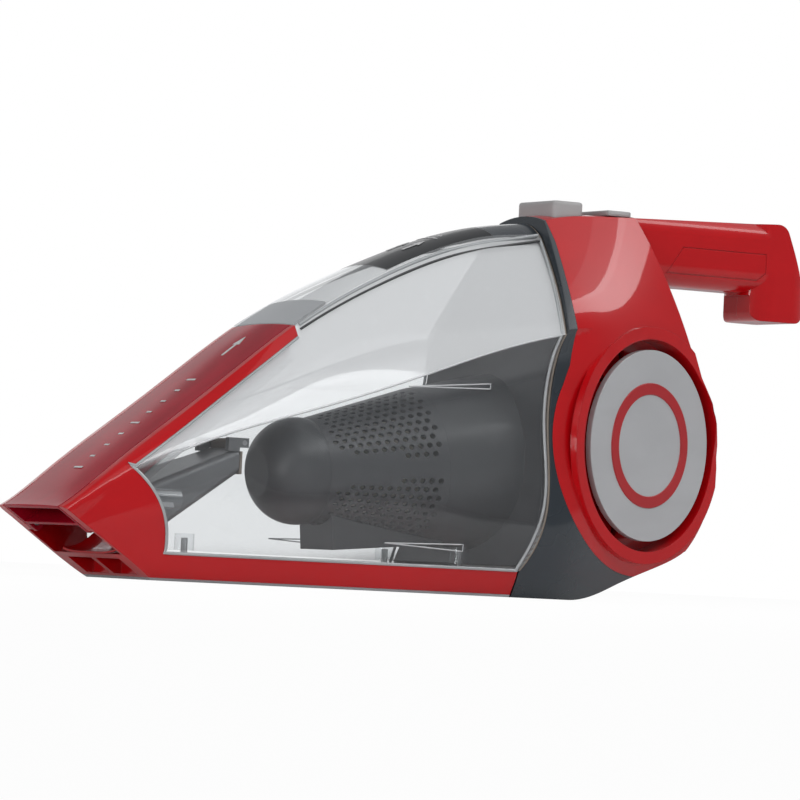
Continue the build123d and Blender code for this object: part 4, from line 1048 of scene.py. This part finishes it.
@dataclass
class CupDressing:
    """Rounded clear edges and fine lines of the dust cup: pale beads are painted highlights on real
    edges and the crease, and a dark bead under the rail is a painted shadow.

    Each kind of line has a bead: its radius, and how far its middle is sunk.
    """

    skin: Skin
    joint_x: float = -158.0
    joint_lean: float = 19.0
    joint_power: float = 2.64
    joint_top: float = 52.0
    joint_gap: float = 0.7
    sill_z: float = 12.0
    sill_end: float = 18.5
    rail_depth: float = 5.04
    edge_gap: float = 0.6
    crease_x: tuple[float, float] = (-152.0, 30.0)
    rail_x: tuple[float, float] = (-89.0, 44.0)
    rail_share: float = 0.03
    rail_line_share: float = 0.09
    rail_setback: float = 3.0
    rim_gap: float = 1.6
    rim_drop: float = 2.0
    rim_z: tuple[float, ...] = (13.0, 40.0, 82.0, 138.0, 172.0)
    rim_x: tuple[float, ...] = (19.5, 30.5, 31.5, 40.0, 46.0)
    high_spear: tuple[float, ...] = (-44.0, 94.6, 0.0, 97.2, 1.2)
    low_spear: tuple[float, ...] = (-51.8, 22.2, -11.7, 21.7, 1.6)
    edge_bead: tuple[float, float] = (0.75, 0.25)
    crease_bead: tuple[float, float] = (0.5, 0.3)
    rail_bead: tuple[float, float] = (0.9, 0.3)
    rail_line_bead: tuple[float, float] = (0.7, 0.3)
    rim_bead: tuple[float, float] = (0.7, 0.3)
    highlight_spear_bead: tuple[float, float] = (0.3, 0.12)

    def build(self) -> None:
        """Lays every line on both sides."""
        edge, line, shadow = Finishes.CLEAR_EDGE_HIGHLIGHT, Finishes.HIGHLIGHT_LINE, Finishes.SHADOW_LINE
        for side, end in SIDES:
            crease = self._along(self.crease_x, 1.0, side)
            rail = self._along(self.rail_x, self.rail_share, side)
            rail_line = self._along(self.rail_x, self.rail_line_share, side)
            # Pale edge, rail and rim beads: painted highlights on the cup's real edges.
            self._line(f"cup_edge_{end}", self._edge(side), self.edge_bead, edge)
            # Crease bead: a painted highlight on the real crease.
            self._line(f"cup_crease_{end}", crease, self.crease_bead, line)
            self._line(f"cup_rail_{end}", rail, self.rail_bead, edge)
            # Dark line under the rail: a painted shadow.
            self._line(f"cup_rail_line_{end}", rail_line, self.rail_line_bead, shadow)
            self._line(f"cup_rim_{end}", self._rim(side), self.rim_bead, edge)
            # Spears: painted highlights where the crease goes on only as a reflection.
            for name, spear in (("high", self.high_spear), ("low", self.low_spear)):
                path = self._spear(*spear, side)
                self._line(f"cup_highlight_spear_{name}_{end}", path, self.highlight_spear_bead, line)

    @staticmethod
    def _line(name: str, path: Array, size: tuple[float, float], finish: Finish) -> None:
        """Places a bead along a line on the skin.

        Args:
            name: the piece's name.
            path: the line.
            size: radius of the bead, and how far its middle is sunk under the skin.
            finish: its material.
        """
        radius, sink = size
        points, faces = bead(path - unit(path * (0, 1, 0)) * sink, radius)
        Piece.place(name, points, faces, finish, "dust_cup", "clear")

    def _edge(self, side: float) -> Array:
        """Line along the sill, up the curved joint and back under the rail.

        The joint leans back by the rise to a power.

        Args:
            side: -1 for the left side, 1 for the right.

        Returns:
            The line on the skin.
        """
        low = self.sill_z + self.edge_gap
        x = np.linspace(self.sill_end, self.joint_x, 60)
        sill = self.skin.on_side(x, np.full_like(x, low), side)
        z = np.linspace(low, self.joint_top, 30)[1:]
        rise = (z - self.sill_z) / (self.joint_top - self.sill_z)
        lean = self.joint_lean * rise ** self.joint_power
        joint = self.skin.on_side(self.joint_x + self.joint_gap - lean, z, side)
        x = np.linspace(joint[-1, 0] + self.rail_setback, DECK_REAR_X, 40)
        rail = self.skin.on_side(x, deck_height(x) - self.rail_depth - self.edge_gap, side)
        return np.concatenate([sill, joint, rail])

    def _along(self, ends: tuple[float, float], t: float, side: float) -> Array:
        """Line between two stations at a share of the way from deck edge to shoulder."""
        x = np.linspace(*ends, 90)
        return self.skin.at(x, np.full_like(x, t), Stretch.UPPER, side)

    def _rim(self, side: float) -> Array:
        """Line just inside the joint between cup and rear body.

        Args:
            side: -1 for the left side, 1 for the right.

        Returns:
            The line on the skin.
        """
        z = np.linspace(self.rim_z[0], self.rim_z[-1] - self.rim_drop, 80)
        x = CubicTable(self.rim_z, self.rim_x)(z)[:, 0] - self.rim_gap
        return self.skin.on_side(x, z, side)

    def _spear(self, x0: float, z0: float, x1: float, z1: float, width: float,
               side: float) -> Array:
        """Slim outline that opens from a point: two lines z -+ width s, closed at the end.

        Args:
            x0: station of the point.
            z0: height of the point.
            x1: station of the open end.
            z1: height of the open end.
            width: half width of the open end.
            side: -1 for the left side, 1 for the right.

        Returns:
            The outline on the skin.
        """
        # Painted highlight: the outline marks a reflection line, not a moulded edge.
        s = np.linspace(0, 1, 24)
        x, z = x0 + (x1 - x0) * s, z0 + (z1 - z0) * s
        up = self.skin.on_side(x, z + width * s, side)
        down = self.skin.on_side(x, z - width * s, side)
        return np.concatenate([up, down[::-1]])


@dataclass
class FilterScreen:
    """Tapered filter wall with staggered round holes in two patches a side."""

    front_x: float = -65.0
    rear_x: float = -8.0
    front_radius: float = 24.5
    rear_radius: float = 37.0
    wall: float = 1.5
    tilt: float = 5.0
    axis_z: float = 60.0
    rows: int = 13
    around: int = 52
    hole: float = 0.31
    least_cell: float = 0.2
    bare_ends: float = 0.6
    front_band: float = 20.0
    rear_band: float = 4.0
    top_band: float = 82.0

    SQUARE: ClassVar[Array] = np.array(
        [(0, 0), (0.5, 0), (1, 0), (1, 0.5), (1, 1), (0.5, 1), (0, 1), (0, 0.5)])

    def build(self) -> None:
        """Every cell is a square, plain or with a hole and the hole's own wall.

        Cells are numbered along the axis and round it, in units of one cell,
        and every other line is half a cell further back. A cell with a hole has
        the square's 8 points, 16 points on the hole's edge and 16 behind them.
        """
        line, step = np.meshgrid(np.arange(self.around), np.arange(-1, self.rows), indexing="ij")
        line, low = line.ravel(), (step + 0.5 * (line % 2)).ravel()
        corner = self.SQUARE + np.stack([low, line], -1)[:, None]
        corner[..., 0] = np.clip(corner[..., 0], 0, self.rows)
        kept = np.ptp(corner[..., 0], axis=1) >= self.least_cell
        whole = (low >= 0) & (low <= self.rows - 1)
        open_cell = kept & whole & self._in_patch(low + 0.5, line + 0.5)
        plain = corner[kept & ~open_cell]
        a = np.radians(np.arange(-135, 225, 22.5))
        ring = 0.5 + self.hole * np.stack([np.cos(a), np.sin(a)], -1)
        ring = ring + np.stack([low, line], -1)[open_cell][:, None]
        holed = np.concatenate([corner[open_cell], ring, ring], axis=1)
        depth = np.zeros(holed.shape[:2])
        depth[:, -len(a):] = self.wall
        uv = np.concatenate([plain.reshape(-1, 2), holed.reshape(-1, 2)])
        depth = np.concatenate([np.zeros(plain.size // 2), depth.ravel()])
        faces = self._faces(len(plain), len(holed))
        Piece.place("filter_wall", self._wrap(uv, depth), faces, Finishes.FILTER, "body",
                    "filter_grey", ("filter_screen",), crease=50.0, outwards=False)

    @staticmethod
    def _faces(plain: int, holed: int) -> list[list[int]]:
        """Faces of all cells.

        Args:
            plain: number of plain cells, which come first.
            holed: number of cells with a hole.

        Returns:
            One octagon for each plain cell; 8 pentagons and 16 quads for the others.
        """
        k, h = np.arange(8), np.arange(16)
        start = 8 * plain + 40 * np.arange(holed)[:, None, None]
        front = [8 + 2 * k, 9 + 2 * k, 8 + (2 * k + 2) % 16, (k + 1) % 8, k]
        inside = [24 + h, 24 + (h + 1) % 16, 8 + (h + 1) % 16, 8 + h]
        octagons = np.arange(8 * plain).reshape(-1, 8)[:, ::-1]
        pentagons = (np.stack(front, -1) + start).reshape(-1, 5)
        quads = (np.stack(inside, -1) + start).reshape(-1, 4)
        return [*octagons.tolist(), *pentagons.tolist(), *quads.tolist()]

    def _in_patch(self, row: Array, column: Array) -> Array:
        """Holes leave a bare band along each flank, wider towards the nose.

        Args:
            row: middle of each cell along the axis.
            column: middle of each cell round it.

        Returns:
            True for each cell that has a hole.
        """
        angle = np.abs((360 * column / self.around + 90) % 180 - 90)
        band = self.rear_band + (self.front_band - self.rear_band) * (1 - row / self.rows)
        inside = (row > self.bare_ends) & (row < self.rows - self.bare_ends)
        return inside & (angle > band) & (angle < self.top_band)

    def _wrap(self, uv: Array, depth: Array) -> Array:
        """Cone about the tilted filter axis: radius grows evenly from front to rear.

        Args:
            uv: cells along the axis and round it.
            depth: millimetres under the outer face.

        Returns:
            Points in millimetres.
        """
        share = uv[:, 0] / self.rows
        x = self.front_x + share * (self.rear_x - self.front_x)
        angle = 2 * math.pi * uv[:, 1] / self.around
        r = self.front_radius + share * (self.rear_radius - self.front_radius) - depth
        y, z = r * np.cos(angle), r * np.sin(angle)
        c, s = math.cos(math.radians(self.tilt)), math.sin(math.radians(self.tilt))
        return np.stack([x * c - z * s, y, self.axis_z + x * s + z * c], -1)


@dataclass
class IntakeRamp:
    """Curved sheet that leads from the nozzle floor up to the lip of the inlet duct."""

    start_x: float = -176.0
    end_x: float = -159.0
    low_z: float = 11.8
    high_z: float = 20.2
    half: float = 26.0
    curl: float = 1.6
    thickness: float = 0.9
    steps: int = 20
    columns: int = 25

    def build(self) -> None:
        """Height rises with the square of the way along and with the fourth power across."""
        along = np.linspace(0, 1, self.steps)[:, None]
        across = np.linspace(-1, 1, self.columns)[None, :]
        x = self.start_x + (self.end_x - self.start_x) * along
        z = self.low_z + (self.high_z - self.low_z) * along ** 2 + self.curl * across ** 4
        top = np.stack(np.broadcast_arrays(x, self.half * across, z), -1).reshape(-1, 3)
        number = np.arange(len(top)).reshape(self.steps, self.columns)
        rim = np.concatenate([number[0, :-1], number[:-1, -1], number[-1, :0:-1], number[:0:-1, 0]])
        after = np.roll(rim, -1)
        faces = grid_faces(self.steps, self.columns)
        sides = np.stack([rim, after, after + len(top), rim + len(top)], -1)
        faces = np.concatenate([faces, faces[:, ::-1] + len(top), sides])
        points = np.concatenate([top, top - (0, 0, self.thickness)])
        Piece.place("intake_ramp", points, faces.tolist(), Finishes.RED, "dust_cup", "red_shell",
                    crease=50.0)


@dataclass
class CoverRing:
    """Plain raised ring on each side cover, drawn about the disc's own axis."""

    axis_z: float = 75.0
    proud: float = 1.0
    inner: float = 24.0
    outer: float = 30.0
    height: float = 0.5
    sink: float = 0.3
    slope: float = 0.4
    corners: int = 96

    def build(self) -> None:
        """A flat-topped profile turned round the disc's axis, which the taper leans back."""
        a = np.linspace(0, 2 * math.pi, self.corners, endpoint=False)[:, None]
        r = np.array([self.inner, self.inner + self.slope, self.outer - self.slope, self.outer])
        h = self.proud + np.array([-self.sink, self.height, self.height, -self.sink])
        t = math.radians(FLANK_TAPER)
        u, v = r * np.cos(a), r * np.sin(a)
        x = DISC_X + u * math.cos(t) + h * math.sin(t)
        y = DISC_HALF_WIDTH - u * math.sin(t) + h * math.cos(t)
        faces = grid_faces(self.corners, len(r), wrap_rows=True).tolist()
        for side, end in SIDES:
            points = np.stack([x, side * y, self.axis_z + v], -1).reshape(-1, 3)
            Piece.place(f"cover_ring_{end}", points, faces, Finishes.DISC_RED, "body", "pale_grey")


@dataclass
class Strip:
    """Flat shape on the deck: half widths at stations, about a middle line."""

    stations: Array
    halves: Array
    middle: float = 0.0


@dataclass
class DeckMarking:
    """Plain arrows and ticks printed along the crevice tool and on the deck label."""

    skin: Skin
    thickness: float = 0.17
    columns: int = 11
    arrow_x: float = -112.0
    shaft_length: float = 7.0
    shaft_half: float = 1.0
    head_length: float = 5.0
    head_half: float = 3.2
    tip_half: float = 0.05
    tick_x: float = -184.0
    tick_pitch: float = 7.0
    tick_length: float = 0.9
    ticks: int = 9
    long_tick: float = 8.0
    short_tick: float = 4.5
    label_x: float = -22.0
    label_y: float = 7.0
    bar_x: tuple[float, ...] = (-5.0, -1.0)
    bar_width: tuple[float, ...] = (18.0, 14.0)

    def build(self) -> None:
        """Prints a scale and an arrow on the tool, and two arrows and two bars on the label."""
        widths = [self.short_tick if i % 4 else self.long_tick for i in range(self.ticks)]
        scale = [self._bar(self.tick_x + self.tick_pitch * i, w) for i, w in enumerate(widths)]
        tool = [*self._arrow(self.arrow_x, 0.0), *scale]
        bars = [self._bar(x, width) for x, width in zip(self.bar_x, self.bar_width)]
        arrows = [s for y in (-self.label_y, self.label_y) for s in self._arrow(self.label_x, y)]
        self._print("tool_marking", tool, "crevice_tool", "red_tool")
        self._print("label_marking", [*arrows, *bars], "dust_cup", "slate")

    def _print(self, name: str, strips: Sequence[Strip], body: str, slot: str) -> None:
        """Thin raised print that follows the crown of the skin.

        A strip has the points (x, middle + half width w) for w from -1 to 1. Each
        x gives a closed ring: the row on the skin, then the raised row back.

        Args:
            name: the piece's name.
            strips: shapes to print.
            body: the body that carries the print.
            slot: its material slot.
        """
        points, faces, count = [], [], 0
        for strip in strips:
            y = strip.middle + np.outer(strip.halves, np.linspace(-1, 1, self.columns))
            deck_half = self.skin.table(strip.stations)[:, :1]
            t = 0.5 + y / (2 * deck_half)
            row = self.skin.at(strip.stations[:, None], t, Stretch.CROWN)
            raised = row[:, ::-1] + self.thickness * DECK_NORMAL
            ring_points, ring_faces = capped(np.concatenate([row, raised], axis=1))
            points.append(ring_points)
            faces += [[corner + count for corner in face] for face in ring_faces]
            count += len(ring_points)
        Piece.place(name, np.concatenate(points), faces, Finishes.MARKING, body, slot, crease=60.0)

    def _arrow(self, x: float, y: float) -> list[Strip]:
        """Plain arrow that points towards the handle: a shaft and a head.

        Args:
            x: station where the shaft starts.
            y: middle line of the arrow.

        Returns:
            The shaft and the head.
        """
        neck = x + self.shaft_length
        head = np.linspace(self.head_half, self.tip_half, 4)
        return [
            Strip(np.linspace(x, neck, 4), np.full(4, self.shaft_half), y),
            Strip(np.linspace(neck, neck + self.head_length, 4), head, y),
        ]

    def _bar(self, x: float, width: float) -> Strip:
        """Short bar across the deck."""
        return Strip(np.array([x, x + self.tick_length]), np.full(2, width / 2))


class Follow(Enum):
    """Skin that a copied node takes its normals from: stations from and to, and the blend."""

    FRONT = (-207.0, 50.0, 0.0)
    REAR = (16.0, 160.0, 0.0)
    NECK = (16.0, 160.0, 13.0)


@dataclass
class Housings:
    """Every node whose CAD shape is right: copied, smoothed and dressed.

    A finish has the name of the slot it is for, and some nodes have one of their own.
    """

    by_node: dict[str, Finish] = field(default_factory=lambda: {
        "deck_label": Finishes.LABEL, "inlet_duct": Finishes.DUCT,
        "side_cover_left": Finishes.DISC, "side_cover_right": Finishes.DISC,
        "grip_left": Finishes.RED, "grip_right": Finishes.RED,
    })
    rebuilt: tuple[str, ...] = ("filter_screen",)
    follows: dict[str, Follow] = field(default_factory=lambda: {
        "nozzle": Follow.FRONT, "crevice_tool": Follow.FRONT, "dust_cup": Follow.FRONT,
        "deck_trim": Follow.FRONT, "deck_label": Follow.FRONT, "cup_catch": Follow.FRONT,
        "chassis": Follow.REAR, "housing_left": Follow.NECK, "housing_right": Follow.NECK,
    })

    def build(self, front: Skin, rear: Skin) -> None:
        """Copies every node and dresses it.

        Args:
            front: skin of the nozzle and the cup.
            rear: skin of the motor body.
        """
        guides = {
            follow: Guide(front if follow is Follow.FRONT else rear, *follow.value)
            for follow in Follow
        }
        by_slot = {finish.name: finish for finish in Finishes.every()}
        for part in frame["record"]["subparts"]:
            node, slot = part["node"], part["material_slot"]
            if node not in self.rebuilt:
                copy = SmoothCopy(node, guide=guides.get(self.follows.get(node)))
                copy.place(self.by_node.get(node, by_slot[slot]), slot)


# ---------------------------------------------------------------- studio

@dataclass(frozen=True)
class Softbox:
    """Rectangular lamp, in metres and watts, that the camera doesn't see."""

    name: str
    place: tuple[float, float, float]
    aim: tuple[float, float, float]
    size: tuple[float, float]
    power: float

    def build(self) -> None:
        """Puts the lamp in its place, turned to its aim."""
        lamp = bpy.data.lights.new(self.name, "AREA")
        lamp.shape, lamp.energy = "RECTANGLE", self.power
        lamp.size, lamp.size_y = self.size
        box = bpy.data.objects.new(self.name, lamp)
        box.location = self.place
        box.visible_camera = False
        box.rotation_mode = "QUATERNION"
        towards = Vector(self.aim) - Vector(self.place)
        box.rotation_quaternion = towards.to_track_quat("-Z", "Y")
        bpy.context.scene.collection.objects.link(box)


@dataclass
class Studio:
    """Camera, plain pale floor, white surroundings and soft lights, in metres."""

    azimuth: float = -31.0
    elevation: float = -2.0
    roll: float = 2.8
    lens: float = 227.7
    distance: float = 2.387
    target: tuple[float, float, float] = (-0.015, 0.0, 0.0903)
    floor_half: float = 6.0
    floor_share: float = 0.97
    reflected: float = 0.1
    sky: Colour = (0.62, 0.63, 0.65)
    sky_strength: float = 0.42
    lights: tuple[Softbox, ...] = (
        Softbox("overhead", (0.25, -0.40, 1.16), (0.0, 0.0, 0.09), (2.0, 0.72), 2.7),
        Softbox("edge", (0.478, -0.766, 1.02), (0.0, 0.0, 0.09), (2.2, 0.24), 7.2),
        Softbox("edge_upper", (0.399, -0.639, 1.15), (0.0, 0.0, 0.09), (2.2, 0.17), 0.5),
        Softbox("fill", (-1.25, -0.7, 0.62), (-0.1, 0.0, 0.06), (0.7, 0.6), 2.6),
        Softbox("front", (-1.45, -0.42, 0.12), (-0.17, 0.0, 0.03), (0.5, 0.3), 4.0),
        Softbox("back", (0.31, 1.12, 0.42), (-0.05, 0.0, 0.09), (0.9, 0.5), 0.9),
    )

    def build(self) -> None:
        """Sets up everything round the vacuum cleaner."""
        bpy.context.scene.view_settings.view_transform = "Standard"
        self._camera()
        self._floor()
        self._world()
        for light in self.lights:
            light.build()

    def _camera(self) -> None:
        """Camera at the set angle, turned about its own axis by the roll."""
        a, e, r = map(math.radians, (self.azimuth, self.elevation, self.roll))
        back = Vector((math.sin(a) * math.cos(e), -math.cos(a) * math.cos(e), math.sin(e)))
        camera = bpy.data.objects.new("camera", bpy.data.cameras.new("camera"))
        bpy.context.scene.collection.objects.link(camera)
        camera.data.lens, camera.data.sensor_width = self.lens, 36.0
        camera.data.clip_start, camera.data.clip_end = 0.01, 50.0
        camera.location = Vector(self.target) + back * self.distance
        camera.rotation_mode = "QUATERNION"
        turn = (-back).to_track_quat("-Z", "Y")
        camera.rotation_quaternion = turn @ Quaternion((0, 0, 1), r)
        bpy.context.scene.camera = camera

    def _floor(self) -> None:
        """Large pale floor that keeps the shadow and looks white to the camera."""
        half = self.floor_half
        corners = [(-half, -half, 0), (half, -half, 0), (half, half, 0), (-half, half, 0)]
        mesh = bpy.data.meshes.new("floor")
        mesh.from_pydata(corners, [], [(0, 1, 2, 3)])
        graph = Graph("floor")
        colour = graph.colours(graph.noise(size=60.0), (0.88, 0.88, 0.88), (0.92, 0.92, 0.92))
        plain = graph.add("ShaderNodeBsdfDiffuse", {}, {"Color": colour})[0]
        white = {"Color": opaque((1.0, 1.0, 1.0)), "Strength": 1.0}
        bright = graph.add("ShaderNodeEmission", {}, white)[0]
        share = self._seen(graph) * self.floor_share
        mesh.materials.append(graph.finish(graph.shaders(share, plain, bright)))
        floor = bpy.data.objects.new("floor", mesh)
        bpy.context.scene.collection.objects.link(floor)

    def _world(self) -> None:
        """White where it is seen, soft grey as light."""
        world = bpy.data.worlds.new("studio")
        bpy.context.scene.world = world
        graph = Graph("studio", world)
        light, white = (
            graph.add("ShaderNodeBackground", {}, {"Color": opaque(colour), "Strength": power})[0]
            for colour, power in ((self.sky, self.sky_strength), ((1.0, 1.0, 1.0), 1.0))
        )
        graph.finish(graph.shaders(self._seen(graph), light, white))

    def _seen(self, graph: Graph) -> Value:
        """One where the camera looks straight or through glass, a part of that in a reflection.

        Args:
            graph: graph to add the nodes to.

        Returns:
            The share.
        """
        path = graph.add("ShaderNodeLightPath")
        straight = path["Is Camera Ray"] + path["Is Transmission Ray"]
        return straight + path["Is Glossy Ray"] * self.reflected


def main() -> None:
    """Builds the studio and every piece."""
    logging.basicConfig(level=logging.INFO, format="%(message)s")
    front, rear = Skin(FRONT_ROWS), Skin(REAR_ROWS)
    Studio().build()
    Housings().build(front, rear)
    CupDressing(front).build()
    FilterScreen().build()
    IntakeRamp().build()
    CoverRing().build()
    DeckMarking(front).build()


if __name__ == "__main__":
    main()
